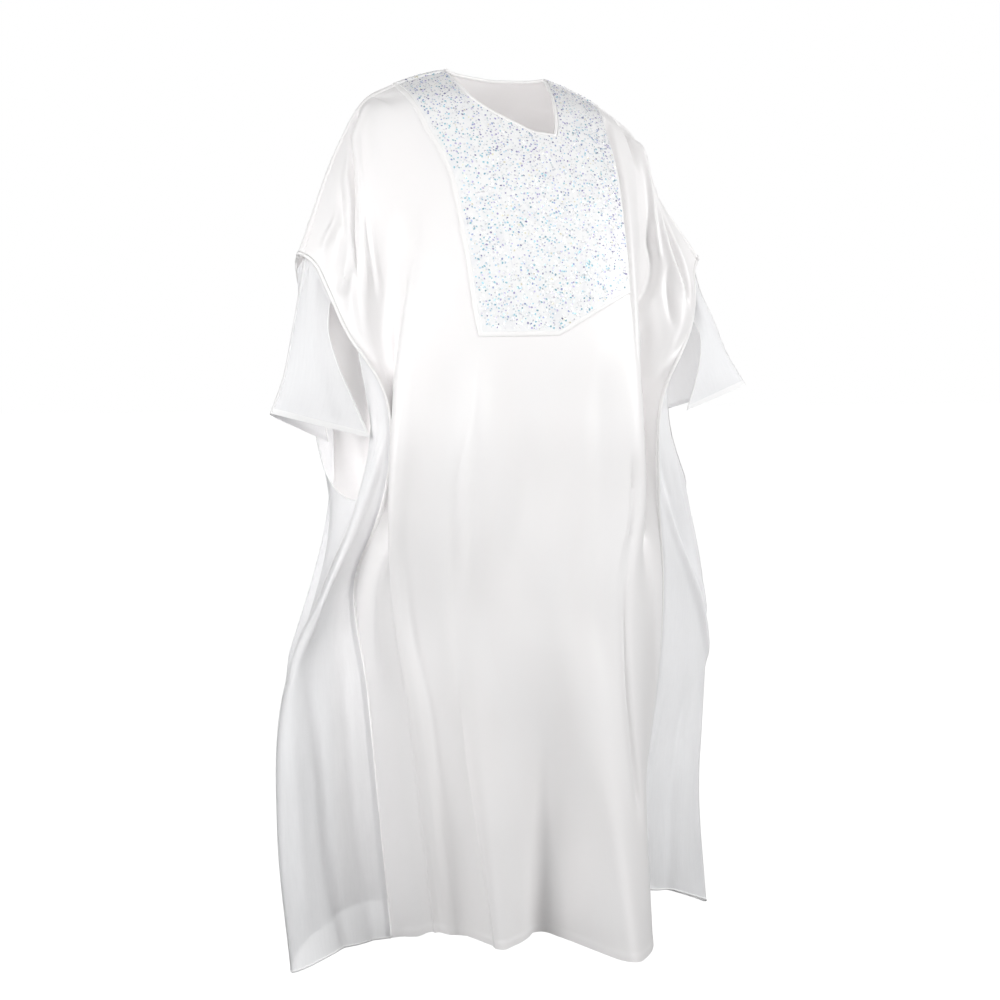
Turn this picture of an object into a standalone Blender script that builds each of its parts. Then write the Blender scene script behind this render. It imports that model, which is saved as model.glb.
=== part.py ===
"""Grand boubou robe: a satin front and back with winged caps, sheer sleeves and sheer side gores.

Metres, +Z up. The front faces -Y and the wearer's left is +X. The origin is the centre of
the neck opening at the height of the shoulder seams beside the neck.

Every cloth piece is a thin wall on a surface worked out from fold lines. A fold line runs
from the shoulder seam (section 0) to the hem (section 10), and the tables below hold one
row for each section. Pieces stay a seam gap apart.
"""
import math

import bmesh
import bpy
from mathutils import Vector

# ------------------------------------------------------------------ driving sizes (metres)
SATIN_WALL = 0.0016
ORGANZA_WALL = 0.0011
BIB_WALL = 0.0012
BAND_WALL = 0.0012
SEAM_GAP = 0.0004
EDGE_BINDING_WIDTH = 0.006
EDGE_BINDING_THICK = 0.0034
NECK_BINDING_WIDTH = 0.0055
NECK_BINDING_THICK = 0.0042
MITRE_LIMIT = 0.55              # bands grow no wider than this allows at a corner
GORE_REACH = 0.30               # share of a gore's width where its belly starts
SLEEVE_INSET = 0.004            # how far inside the cap's edge the sleeve starts
SLEEVE_TUCK = 0.0048            # how far under the cap's cloth it lies there
TIP_TUCK = 0.0110               # the same next to the cap's tip, where its two sides meet
TIP_DROP = 0.0080               # how far the sleeve hangs down inside the tip
TIP_GAP = 0.016                 # the cap's two edges are this far apart where the tip ends
OPEN_GAP = 0.044                # and this far where the sleeve comes out between them
LAST_SECTION = 10.0
ARMHOLE_SECTION = 4.75          # where a panel's rows become level
UNDERARM_SECTION = 6.0          # the side seam's top, the lowest point of the armhole
GORE_ROWS_ABOVE = (2, 0)        # rows above that where the right and left gores start
ARMHOLE_FADE = 1.7              # sections over which the gore's lines turn from the armhole's
SLEEVE_SECTION = 3.4            # the sleeve is sewn along the cap's edge up to here

# mesh density
STEPS_BETWEEN_FOLDS = 3
NORMAL_STEP = 0.02              # in columns and sections, for the surface's directions
BIB_ROWS = 12
BACK_UPPER_ROWS = 8
LOWER_ROWS = 13
GORE_STEPS = 7
SLEEVE_ROWS = 8
ROW_CROWDING = 0.3              # rows lie this much closer together near the neck
PANEL_COLUMNS = 7.0             # three of fold lines at each side and one middle
SLEEVE_PLACES = (0.0, 0.09, 0.20, 0.33, 0.48, 0.64, 0.81, 1.0)

# ------------------------------------------------------------------ fold lines of the front
# One row per section, 0 at the shoulder seam and 10 at the hem. Columns: x, y, z.
RIGHT_FRONT = {
    "edge": [
        (-0.367, -0.020, -0.306), (-0.358, -0.034, -0.313), (-0.348, -0.047, -0.327),
        (-0.336, -0.060, -0.360), (-0.315, -0.080, -0.422), (-0.266, -0.122, -0.535),
        (-0.259, -0.100, -0.690), (-0.278, -0.030, -0.824), (-0.257, -0.028, -1.000),
        (-0.233, -0.020, -1.210), (-0.208, -0.010, -1.410)],
    "wing": [
        (-0.303, -0.012, -0.150), (-0.305, -0.038, -0.172), (-0.308, -0.063, -0.215),
        (-0.308, -0.082, -0.295), (-0.288, -0.098, -0.420), (-0.243, -0.090, -0.550),
        (-0.240, -0.096, -0.697), (-0.264, -0.068, -0.830), (-0.259, -0.062, -1.010),
        (-0.235, -0.057, -1.215), (-0.210, -0.050, -1.397)],
    "valley": [
        (-0.251, -0.004, -0.068), (-0.255, -0.047, -0.094), (-0.259, -0.079, -0.168),
        (-0.256, -0.092, -0.280), (-0.240, -0.096, -0.420), (-0.232, -0.088, -0.560),
        (-0.233, -0.106, -0.700), (-0.274, -0.106, -0.838), (-0.254, -0.102, -1.022),
        (-0.229, -0.100, -1.222), (-0.204, -0.096, -1.385)],
    "fold": [
        (-0.212, 0.000, -0.045), (-0.210, -0.052, -0.076), (-0.206, -0.094, -0.156),
        (-0.213, -0.125, -0.280), (-0.247, -0.150, -0.420), (-0.266, -0.168, -0.560),
        (-0.280, -0.165, -0.700), (-0.268, -0.150, -0.845), (-0.239, -0.150, -1.030),
        (-0.214, -0.149, -1.225), (-0.192, -0.142, -1.368)],
}
LEFT_FRONT = {
    "edge": [
        (0.367, -0.020, -0.292), (0.350, -0.034, -0.318), (0.344, -0.046, -0.346),
        (0.339, -0.054, -0.380), (0.317, -0.073, -0.420), (0.233, -0.113, -0.540),
        (0.228, -0.112, -0.695), (0.259, -0.083, -0.850), (0.255, -0.075, -1.015),
        (0.212, -0.080, -1.205), (0.207, -0.070, -1.375)],
    "wing": [
        (0.285, -0.010, -0.184), (0.278, -0.044, -0.210), (0.286, -0.066, -0.256),
        (0.307, -0.078, -0.320), (0.284, -0.093, -0.418), (0.214, -0.086, -0.552),
        (0.207, -0.103, -0.698), (0.233, -0.101, -0.848), (0.234, -0.106, -1.020),
        (0.203, -0.110, -1.213), (0.200, -0.104, -1.386)],
    "valley": [
        (0.246, -0.004, -0.096), (0.240, -0.038, -0.124), (0.235, -0.060, -0.190),
        (0.226, -0.074, -0.295), (0.212, -0.074, -0.420), (0.203, -0.064, -0.560),
        (0.199, -0.080, -0.700), (0.199, -0.140, -0.846), (0.203, -0.138, -1.025),
        (0.189, -0.142, -1.220), (0.189, -0.146, -1.402)],
    "fold": [
        (0.195, 0.000, -0.058), (0.183, -0.050, -0.090), (0.170, -0.100, -0.168),
        (0.156, -0.144, -0.288), (0.152, -0.168, -0.420), (0.156, -0.180, -0.560),
        (0.162, -0.180, -0.700), (0.140, -0.187, -0.845), (0.142, -0.190, -1.030),
        (0.156, -0.196, -1.226), (0.160, -0.214, -1.424)],
}
# ------------------------------------------------------------------ fold lines of the back
# x is the distance from the centre line, used on both sides; section 0 is the front's.
BACK_FOLDS = {
    "edge": [
        (0.364, -0.003, -0.318), (0.356, 0.012, -0.343), (0.338, 0.038, -0.372),
        (0.314, 0.062, -0.420), (0.262, 0.108, -0.535), (0.250, 0.121, -0.690),
        (0.248, 0.128, -0.830), (0.246, 0.138, -1.010), (0.243, 0.144, -1.210),
        (0.241, 0.150, -1.410)],
    "wing": [
        (0.294, 0.016, -0.190), (0.304, 0.042, -0.215), (0.306, 0.066, -0.295),
        (0.288, 0.084, -0.415), (0.240, 0.088, -0.548), (0.230, 0.112, -0.695),
        (0.233, 0.138, -0.835), (0.230, 0.152, -1.015), (0.226, 0.158, -1.213),
        (0.222, 0.164, -1.408)],
    "valley": [
        (0.246, 0.034, -0.102), (0.248, 0.052, -0.170), (0.242, 0.062, -0.278),
        (0.226, 0.066, -0.415), (0.212, 0.070, -0.552), (0.210, 0.100, -0.700),
        (0.218, 0.152, -0.838), (0.212, 0.164, -1.020), (0.206, 0.170, -1.216),
        (0.200, 0.176, -1.406)],
    "fold": [
        (0.192, 0.044, -0.078), (0.200, 0.082, -0.155), (0.212, 0.112, -0.275),
        (0.236, 0.134, -0.415), (0.246, 0.146, -0.555), (0.233, 0.152, -0.700),
        (0.202, 0.166, -0.840), (0.190, 0.174, -1.025), (0.182, 0.180, -1.220),
        (0.174, 0.186, -1.405)],
}
# Between the two fold lines the cloth stands out over the chest or the back, and at the
# top it climbs to the neck. One row per section.
FRONT_BULGE = (0.000, 0.020, 0.028, 0.026, 0.018, 0.012, 0.012, 0.013, 0.016, 0.022, 0.024)
BACK_BULGE = (0.000, 0.016, 0.020, 0.020, 0.016, 0.012, 0.014, 0.018, 0.022, 0.026, 0.030)
NECK_RISE = (0.050, 0.026, 0.006, 0.000, 0.000, 0.000, 0.000, 0.000, 0.000, 0.000, 0.000)
BACK_NECK_RISE = (0.050, 0.034, 0.012, 0.000, 0.000, 0.000, 0.000, 0.000, 0.000, 0.000, 0.000)

# Long soft folds of the middle of each panel. place and half_width are fractions of the
# way across, first_section is where the fold starts, depth is at the hem (+ stands out).
#    place  half_width  first_section  depth
FRONT_WAVES = (
    (0.06, 0.10, 5.0, -0.012),
    (0.20, 0.16, 6.0, 0.030),
    (0.565, 0.24, 7.4, -0.060),
    (0.80, 0.20, 7.2, 0.048),
)
BACK_WAVES = (
    (0.20, 0.18, 4.0, -0.022),
    (0.42, 0.20, 5.0, 0.024),
    (0.62, 0.18, 4.5, -0.028),
    (0.82, 0.18, 5.5, 0.020),
)

# The front's hem dips between its folds: place, rise.
FRONT_HEM = (
    (0.0, 0.000), (0.10, -0.010), (0.25, -0.010), (0.33, -0.004), (0.43, 0.010),
    (0.51, 0.006), (0.59, 0.000), (0.75, -0.010), (0.86, -0.010), (0.95, -0.007), (1.0, 0.000))
BACK_HEM = ((0.0, 0.000), (0.30, -0.006), (0.55, 0.004), (0.80, -0.006), (1.0, 0.000))
# The gores' hems rise between their seams: share of the way to the side seam, rise.
GORE_HEM = ((0.0, 0.000), (0.25, 0.010), (0.45, 0.016), (0.70, 0.008), (1.0, 0.000))
HEM_RISE_SECTION = 8.5          # the rises grow from here down to the hem

# ------------------------------------------------------------------ bib, neckline and mesh lines
# The bib's side edges as fractions across the middle, per section. Below the bib the same
# two mesh lines drift to an even spacing.
BIB_SIDES = (
    (0.0, 0.055, 0.935), (1.0, 0.060, 0.930), (1.6, 0.080, 0.930), (2.0, 0.115, 0.932),
    (2.3, 0.142, 0.934), (3.0, 0.180, 0.955), (3.6, 0.245, 0.952), (4.2, 0.310, 0.950),
    (7.0, 0.200, 0.880), (10.0, 0.200, 0.880))
BAND_PLACE = 0.0200             # the bib band's width as a fraction across the middle
BAND_SECTIONS = 0.053           # the same width counted in sections
# share across the bib, section of its lower edge
BIB_FOOT = ((0.0, 4.08), (0.50, 4.06), (0.58, 3.99), (1.0, 3.56))
# How far down the sections the neck is cut: share across the bib, section.
NECK_FRONT = (
    (0.217, 0.00), (0.230, 0.66), (0.252, 1.08), (0.321, 1.33), (0.435, 1.51), (0.561, 1.63),
    (0.655, 1.63), (0.690, 1.41), (0.717, 0.95), (0.735, 0.46), (0.756, 0.00))
NECK_BACK = (
    (0.217, 0.00), (0.290, 0.26), (0.390, 0.40), (0.490, 0.46), (0.600, 0.40),
    (0.700, 0.24), (0.756, 0.00))
# Mesh lines across the bib, as shares of its width.
BIB_LINES = (
    0.0, 0.085, 0.160, 0.217, 0.230, 0.252, 0.321, 0.380, 0.435, 0.500, 0.561, 0.610,
    0.655, 0.690, 0.717, 0.735, 0.756, 0.835, 0.915, 1.0)
NECK_FIRST_LINE = 3             # lines of BIB_LINES where the neck opening starts and ends
NECK_LAST_LINE = 16
LINES_BESIDE_BIB = 3            # fold, one line between, and the band's outer edge

# ------------------------------------------------------------------ side seams of the gores
# section, x, y, z
RIGHT_SIDE_SEAM = (
    (6.0, -0.252, 0.004, -0.696), (7.0, -0.322, 0.004, -0.832),
    (8.0, -0.392, 0.006, -1.010), (9.0, -0.412, -0.022, -1.212), (10.0, -0.402, -0.050, -1.424))
LEFT_SIDE_SEAM = (
    (6.0, 0.342, -0.014, -0.702), (7.0, 0.390, -0.006, -0.850),
    (8.0, 0.394, 0.000, -1.020), (9.0, 0.379, -0.004, -1.215), (10.0, 0.386, -0.026, -1.424))
# How the gores belly between their seams. leave and arrive are shares of their width, lean
# is how far a gore turns inwards as it goes back from the side seam.
# seam section, leave, arrive, lean
RIGHT_BELLY = (
    (6.0, 0.18, 0.30, 0.35), (7.0, 0.14, 0.34, 0.35), (8.0, 0.10, 0.36, 0.35),
    (9.0, 0.02, 0.34, 0.35), (10.0, -0.06, 0.30, 0.35))
LEFT_BELLY = (
    (6.0, 0.08, 0.12, 0.00), (7.0, 0.00, 0.10, 0.00), (7.4, 0.06, 0.22, 0.20),
    (8.0, 0.03, 0.25, 0.18), (9.0, -0.02, 0.30, 0.22), (10.0, -0.10, 0.26, 0.20))
BACK_BELLY = (
    (6.0, 0.02, 0.28, 0.20), (6.6, -0.06, 0.28, 0.20), (7.0, -0.04, 0.30, 0.30),
    (8.0, 0.06, 0.34, 0.35), (9.0, 0.02, 0.34, 0.35), (10.0, -0.06, 0.30, 0.35))
# How the armhole's edge leaves the piping and arrives under the arm: inwards, away from the
# middle towards the front or back, up.
FRONT_ARMHOLE = ((0.018, 0.012, -0.120), (0.010, 0.066, 0.026))
BACK_ARMHOLE = ((-0.018, 0.000, -0.150), (-0.038, 0.064, -0.012))

# ------------------------------------------------------------------ sleeves
# Lines from the cap down to the sleeve's hem. Columns: x, y, z.
RIGHT_SLEEVE = {
    "front": [
        (-0.334, -0.058, -0.376), (-0.341, -0.070, -0.425), (-0.334, -0.084, -0.475),
        (-0.314, -0.097, -0.532), (-0.291, -0.108, -0.592)],
    "over": [
        (-0.358, -0.020, -0.316), (-0.368, -0.022, -0.365), (-0.382, -0.026, -0.430),
        (-0.401, -0.036, -0.500), (-0.428, -0.050, -0.556)],
    "rear": [
        (-0.320, 0.036, -0.376), (-0.312, 0.044, -0.430), (-0.306, 0.052, -0.485),
        (-0.299, 0.056, -0.545), (-0.289, 0.058, -0.604)],
}
LEFT_SLEEVE = {
    "front": [
        (0.333, -0.058, -0.386), (0.338, -0.074, -0.425), (0.330, -0.088, -0.465),
        (0.312, -0.100, -0.510), (0.290, -0.110, -0.556)],
    "over": [
        (0.354, -0.019, -0.303), (0.366, -0.028, -0.350), (0.386, -0.042, -0.402),
        (0.403, -0.060, -0.460), (0.428, -0.080, -0.514)],
    "rear": [
        (0.332, 0.034, -0.376), (0.340, 0.040, -0.420), (0.337, 0.044, -0.468),
        (0.328, 0.046, -0.518), (0.318, 0.048, -0.566)],
}
SLEEVE_BELLY = (0.10, 0.14, 0.12, 0.08, 0.02)
SLEEVE_FADE = 0.5               # share of the sleeve's length that still follows the cap


# ------------------------------------------------------------------ curves
def spline(rows, position):
    """Centripetal Catmull-Rom curve through rows of vectors, at a position in rows."""
    last = len(rows) - 1
    position = min(max(position, 0.0), float(last))
    index = min(int(position), last - 1)
    part = position - index
    start = rows[index]
    end = rows[index + 1]
    before = rows[index - 1] if index > 0 else start * 2.0 - end
    after = rows[index + 2] if index + 2 <= last else end * 2.0 - start
    shortest = 1e-4
    back_span = max((start - before).length, shortest) ** 0.5
    span = max((end - start).length, shortest) ** 0.5
    next_span = max((after - end).length, shortest) ** 0.5
    leave = (start - before) / back_span - (end - before) / (back_span + span)
    leave = (leave + (end - start) / span) * span
    arrive = (end - start) / span - (after - start) / (span + next_span)
    arrive = (arrive + (after - end) / next_span) * span
    square = part * part
    cube = square * part
    return (start * (2.0 * cube - 3.0 * square + 1.0) + leave * (cube - 2.0 * square + part)
            + end * (3.0 * square - 2.0 * cube) + arrive * (cube - square))


def table_value(table, key, column=1):
    """Straight interpolation in a table whose first column grows."""
    if key <= table[0][0]:
        return table[0][column]
    for low, high in zip(table, table[1:]):
        if key <= high[0]:
            share = (key - low[0]) / (high[0] - low[0])
            return low[column] + (high[column] - low[column]) * share
    return table[-1][column]


def table_point(table, key):
    """Smooth curve through a table of section, x, y, z."""
    keys = [(row[0], index) for index, row in enumerate(table)]
    position = table_value(keys, key)
    return spline([Vector(row[1:]) for row in table], position)


def listed(values, section):
    """Smooth value from a list with one entry per section."""
    last = len(values) - 1
    index = min(int(section), last - 1)
    part = section - index
    part = part * part * (3.0 - 2.0 * part)
    return values[index] + (values[index + 1] - values[index]) * part


def hem_growth(section):
    """0 above the lowest part, growing to 1 at the hem."""
    share = (section - HEM_RISE_SECTION) / (LAST_SECTION - HEM_RISE_SECTION)
    return max(0.0, share) ** 2


# ------------------------------------------------------------------ panels
def fold_vectors(table):
    return {name: [Vector(row) for row in rows] for name, rows in table.items()}


def back_vectors(front, side):
    """The back's fold lines on one side: the front's seam points, then the back's table."""
    lines = {}
    for name, rows in BACK_FOLDS.items():
        below = [Vector((side * x, y, z)) for x, y, z in rows]
        lines[name] = [front[name][0].copy()] + below
    return lines


class Panel:
    """A satin panel: wings outside two fold lines, and a plain middle between them."""

    def __init__(self, right, left, bulge, rise, waves, hem, neck, facing):
        self.right = right
        self.left = left
        self.bulge = bulge
        self.rise = rise
        self.waves = waves
        self.hem = hem
        self.neck = neck
        self.facing = facing        # -1 for the front, +1 for the back

    def middle(self, place, section):
        """A point between the two fold lines; place runs from 0 at the right to 1."""
        right_fold = spline(self.right["fold"], section)
        left_fold = spline(self.left["fold"], section)
        point = right_fold.lerp(left_fold, place)
        crown = 4.0 * place * (1.0 - place)
        flat_crown = 1.0 - (2.0 * place - 1.0) ** 4
        point.y += self.facing * listed(self.bulge, section) * flat_crown
        point.z += listed(self.rise, section) * crown
        point.z += table_value(self.hem, place) * hem_growth(section)
        for centre, half_width, first_section, depth in self.waves:
            reach = abs(place - centre) / half_width
            if reach < 1.0 and section > first_section:
                growth = (section - first_section) / (LAST_SECTION - first_section)
                shape = 0.5 + 0.5 * math.cos(math.pi * reach)
                point.y += self.facing * depth * growth ** 1.4 * shape
        return point

    def controls(self, section):
        """The points that a section runs through, from the right edge to the left edge."""
        points = [spline(self.right[name], section) for name in ("edge", "wing", "valley")]
        points += [self.middle(place, section) for place in MIDDLE_CONTROLS]
        points += [spline(self.left[name], section) for name in ("valley", "wing", "edge")]
        return points

    def point(self, column, section):
        """column: 0 to 3 the right wing, 3 to 4 the middle, 4 to 7 the left wing."""
        controls = self.controls(section)
        if column <= 3.0:
            return spline(controls, column)
        if column >= 4.0:
            return spline(controls, column + len(MIDDLE_CONTROLS) - 2.0)
        place = column - 3.0
        plain = self.middle(place, section)
        from_fold = min(place, 1.0 - place) / MIDDLE_CONTROLS[1]
        if from_fold >= 1.0:
            return plain
        weight = from_fold * from_fold * (3.0 - 2.0 * from_fold)
        rounded = spline(controls, 3.0 + place / MIDDLE_CONTROLS[1])
        return rounded.lerp(plain, weight)

    def frame(self, column, section):
        """Point, outward normal, and the direction towards the left edge."""
        low_column = max(0.0, column - NORMAL_STEP)
        high_column = min(PANEL_COLUMNS, column + NORMAL_STEP)
        low_section = max(0.0, section - NORMAL_STEP)
        high_section = min(LAST_SECTION, section + NORMAL_STEP)
        across = self.point(high_column, section) - self.point(low_column, section)
        down = self.point(column, high_section) - self.point(column, low_section)
        if section < NORMAL_STEP:
            down = Vector((0.0, self.facing, 0.0))
        normal = across.cross(down) * self.facing
        return self.point(column, section), normal.normalized(), across.normalized()


class Grid:
    """A panel's mesh points, with rows from the shoulder to the hem."""

    def __init__(self, panel, upper_rows, has_bib):
        self.panel = panel
        self.upper_rows = upper_rows
        self.foot_row = upper_rows if has_bib else None
        self.sections = self.all_sections()
        self.points = []
        self.normals = []
        for row, sections in enumerate(self.sections):
            frames = [panel.frame(self.column_at(index, section), section)
                      for index, section in enumerate(sections)]
            points = [frame[0] for frame in frames]
            if row == 0:
                for point, section in zip(points, sections):
                    if section == 0.0:
                        point.y += panel.facing * SEAM_GAP * 0.5
            self.points.append(points)
            self.normals.append([frame[1] for frame in frames])

    def line_share(self, index):
        """Share across the bib of a mesh line, 0 and 1 outside the bib."""
        inner = index - FIRST_BIB_COLUMN
        return BIB_LINES[min(max(inner, 0), len(BIB_LINES) - 1)]

    def column_at(self, index, section):
        """A mesh line's column in the panel, which follows the bib's edges."""
        wing = 3 * STEPS_BETWEEN_FOLDS
        if index <= wing:
            return index / STEPS_BETWEEN_FOLDS
        last = COLUMN_COUNT - 1
        if index >= last - wing:
            return PANEL_COLUMNS - (last - index) / STEPS_BETWEEN_FOLDS
        left = table_value(BIB_SIDES, section, 1)
        right = table_value(BIB_SIDES, section, 2)
        if index < FIRST_BIB_COLUMN:
            steps = index - wing
            outer = left - BAND_PLACE
            return 3.0 + outer * steps / (LINES_BESIDE_BIB - 1)
        if index > LAST_BIB_COLUMN:
            steps = last - wing - index
            outer = 1.0 - right - BAND_PLACE
            return 4.0 - outer * steps / (LINES_BESIDE_BIB - 1)
        return 3.0 + left + (right - left) * self.line_share(index)

    def all_sections(self):
        """The section of every row at every mesh line."""
        rows = []
        upper = self.upper_rows
        for row in range(upper + 1):
            share = row / upper
            share *= 1.0 - ROW_CROWDING * (1.0 - share)
            line = []
            for index in range(COLUMN_COUNT):
                place = self.line_share(index)
                top = table_value(self.panel.neck, place)
                foot = table_value(BIB_FOOT, place)
                line.append(top + (foot - top) * share)
            rows.append(line)
        feet = rows[-1]
        rows.append([foot + BAND_SECTIONS for foot in feet])
        for share in (1.0 / 3.0, 2.0 / 3.0):
            rows.append([foot + BAND_SECTIONS
                         + (ARMHOLE_SECTION - BAND_SECTIONS - foot) * share for foot in feet])
        for step in range(LOWER_ROWS + 1):
            rows.append([lower_section(step)] * COLUMN_COUNT)
        return rows

    @property
    def armhole_row(self):
        return self.upper_rows + 4

    def edge(self, is_right):
        """Points and normals down one side edge."""
        column = 0 if is_right else COLUMN_COUNT - 1
        points = [line[column] for line in self.points]
        normals = [line[column] for line in self.normals]
        return points, normals


def lower_section(step):
    return ARMHOLE_SECTION + (LAST_SECTION - ARMHOLE_SECTION) * step / LOWER_ROWS


MIDDLE_CONTROLS = (0.0, 0.2, 0.4, 0.6, 0.8, 1.0)
FIRST_BIB_COLUMN = 3 * STEPS_BETWEEN_FOLDS + LINES_BESIDE_BIB
LAST_BIB_COLUMN = FIRST_BIB_COLUMN + len(BIB_LINES) - 1
COLUMN_COUNT = LAST_BIB_COLUMN + FIRST_BIB_COLUMN + 1

# ------------------------------------------------------------------ solids
MATERIALS = {
    #                 red   green  blue  roughness  metallic
    "satin": (0.86, 0.86, 0.86, 0.30, 0.0),
    "organza": (0.78, 0.79, 0.81, 0.45, 0.0),
    "sequin_mesh": (0.80, 0.82, 0.88, 0.35, 0.0),
    "satin_trim": (0.88, 0.88, 0.88, 0.34, 0.0),
}


def give_material(thing, node, kind):
    red, green, blue, roughness, metallic = MATERIALS[kind]
    material = bpy.data.materials.new(node + "_" + kind)
    material.use_nodes = True
    shader = material.node_tree.nodes["Principled BSDF"]
    shader.inputs["Base Color"].default_value = (red, green, blue, 1.0)
    shader.inputs["Roughness"].default_value = roughness
    shader.inputs["Metallic"].default_value = metallic
    thing.data.materials.append(material)


def add_solid(node, vertices, faces, kind):
    mesh = bpy.data.meshes.new(node)
    mesh.from_pydata([tuple(vertex) for vertex in vertices], [], faces)
    solid = bmesh.new()
    solid.from_mesh(mesh)
    bmesh.ops.triangulate(solid, faces=solid.faces)
    bmesh.ops.recalc_face_normals(solid, faces=solid.faces)
    solid.to_mesh(mesh)
    solid.free()
    mesh.shade_smooth()
    mesh.set_sharp_from_angle(angle=math.radians(50.0))
    thing = bpy.data.objects.new(node, mesh)
    bpy.context.scene.collection.objects.link(thing)
    give_material(thing, node, kind)
    return thing


def add_wall(node, points, normals, lift, wall, kind):
    """A closed wall on a grid of points: from lift to lift + wall along the normals."""
    rows = len(points)
    columns = len(points[0])
    vertices = []
    for height in (lift, lift + wall):
        for row in range(rows):
            for column in range(columns):
                vertices.append(points[row][column] + normals[row][column] * height)
    layer = rows * columns
    faces = []
    for row in range(rows - 1):
        for column in range(columns - 1):
            here = row * columns + column
            below = here + columns
            rising = (points[row][column + 1] - points[row + 1][column]).length
            falling = (points[row + 1][column + 1] - points[row][column]).length
            if rising < falling:
                halves = ((here, here + 1, below), (here + 1, below + 1, below))
            else:
                halves = ((here, here + 1, below + 1), (here, below + 1, below))
            for face in halves:
                faces.append(face)
                faces.append(tuple(layer + index for index in reversed(face)))
    border = [column for column in range(columns)]
    border += [row * columns + columns - 1 for row in range(1, rows)]
    border += [(rows - 1) * columns + column for column in range(columns - 2, -1, -1)]
    border += [row * columns for row in range(rows - 2, 0, -1)]
    for first, second in zip(border, border[1:] + border[:1]):
        faces.append((second, first, layer + first, layer + second))
    return add_solid(node, vertices, faces, kind)


def grid_normals(points, side):
    """Normals of a grid by differences, all on one side of the cloth."""
    rows = len(points)
    columns = len(points[0])
    normals = []
    total = 0.0
    for row in range(rows):
        line = []
        for column in range(columns):
            across = (points[row][min(column + 1, columns - 1)]
                      - points[row][max(column - 1, 0)])
            down = (points[min(row + 1, rows - 1)][column]
                    - points[max(row - 1, 0)][column])
            normal = across.cross(down).normalized()
            total += normal.x * side
            line.append(normal)
        normals.append(line)
    if total < 0.0:
        normals = [[-normal for normal in line] for line in normals]
    return normals


def add_strip(node, path, sides, normals, width, thick, kind, closed=False):
    """A six-sided flat band along a path; its section is centred on the path's points."""
    profile = (
        (-0.50, 0.00), (-0.28, 0.50), (0.28, 0.50), (0.50, 0.00), (0.28, -0.50), (-0.28, -0.50))
    ring = len(profile)
    vertices = []
    for point, side, normal in zip(path, sides, normals):
        for across, up in profile:
            vertices.append(point + side * (across * width) + normal * (up * thick))
    count = len(path)
    faces = []
    for index in range(count if closed else count - 1):
        here = index * ring
        there = ((index + 1) % count) * ring
        for corner in range(ring):
            other = (corner + 1) % ring
            faces.append((here + corner, here + other, there + other, there + corner))
    if not closed:
        faces.append(tuple(range(ring)))
        faces.append(tuple((count - 1) * ring + corner for corner in reversed(range(ring))))
    return add_solid(node, vertices, faces, kind)


def mitred(path, normals, closed=False):
    """Sideways vectors of a band along a path, lengthened at corners so it keeps its width."""
    count = len(path)
    sides = []
    for index in range(count):
        before = path[index - 1] if index > 0 or closed else None
        after = path[(index + 1) % count] if index < count - 1 or closed else None
        directions = []
        if before is not None:
            directions.append((path[index] - before).normalized())
        if after is not None:
            directions.append((after - path[index]).normalized())
        crossings = [direction.cross(normals[index]).normalized() for direction in directions]
        side = sum(crossings, Vector()).normalized()
        side /= max(MITRE_LIMIT, side.dot(crossings[0]))
        sides.append(side)
    return sides


# ------------------------------------------------------------------ the robe
def towards(point, neighbour, distance):
    """The point moved a short way towards its neighbour."""
    return point + (neighbour - point).normalized() * distance


def add_bib(grid):
    """The bib lies on the front's cloth, on the front's own points."""
    rows = range(grid.foot_row + 1)
    columns = range(FIRST_BIB_COLUMN, LAST_BIB_COLUMN + 1)
    points = [[grid.points[row][column].copy() for column in columns] for row in rows]
    normals = [[grid.normals[row][column] for column in columns] for row in rows]
    pull = SEAM_GAP * 0.5
    for line in points:
        line[0] = towards(line[0], line[1], pull)
        line[-1] = towards(line[-1], line[-2], pull)
    points[-1] = [towards(point, above, pull) for point, above in zip(points[-1], points[-2])]
    lift = SATIN_WALL * 0.5 + SEAM_GAP
    return add_wall("bib", points, normals, lift, BIB_WALL, "sequin_mesh")


def add_bib_band(grid):
    """The narrow satin band sewn round the bib's free edge."""
    foot = grid.foot_row
    left = FIRST_BIB_COLUMN
    right = LAST_BIB_COLUMN
    pairs = [((row, left), (row, left - 1)) for row in range(foot)]
    pairs.append(((foot, left), (foot + 1, left - 1)))
    pairs += [((foot, column), (foot + 1, column)) for column in range(left + 1, right)]
    pairs.append(((foot, right), (foot + 1, right + 1)))
    pairs += [((row, right), (row, right + 1)) for row in range(foot - 1, -1, -1)]
    points = []
    normals = []
    for (row, column), (outer_row, outer_column) in pairs:
        inner = grid.points[row][column]
        outer = grid.points[outer_row][outer_column]
        points.append([towards(inner, outer, SEAM_GAP * 0.5), outer])
        normals.append([grid.normals[row][column], grid.normals[outer_row][outer_column]])
    lift = SATIN_WALL * 0.5 + SEAM_GAP * 2.5
    return add_wall("bib_band", points, normals, lift, BAND_WALL, "satin_trim")


def neckline(front_grid, back_grid):
    """Points and normals round the neck opening, along both panels' first rows."""
    first = FIRST_BIB_COLUMN + NECK_FIRST_LINE
    last = FIRST_BIB_COLUMN + NECK_LAST_LINE
    path = []
    normals = []
    for column in range(first, last + 1):
        path.append(front_grid.points[0][column])
        normals.append(front_grid.normals[0][column])
    for column in range(last - 1, first, -1):
        path.append(back_grid.points[0][column])
        normals.append(back_grid.normals[0][column])
    return path, normals


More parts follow.
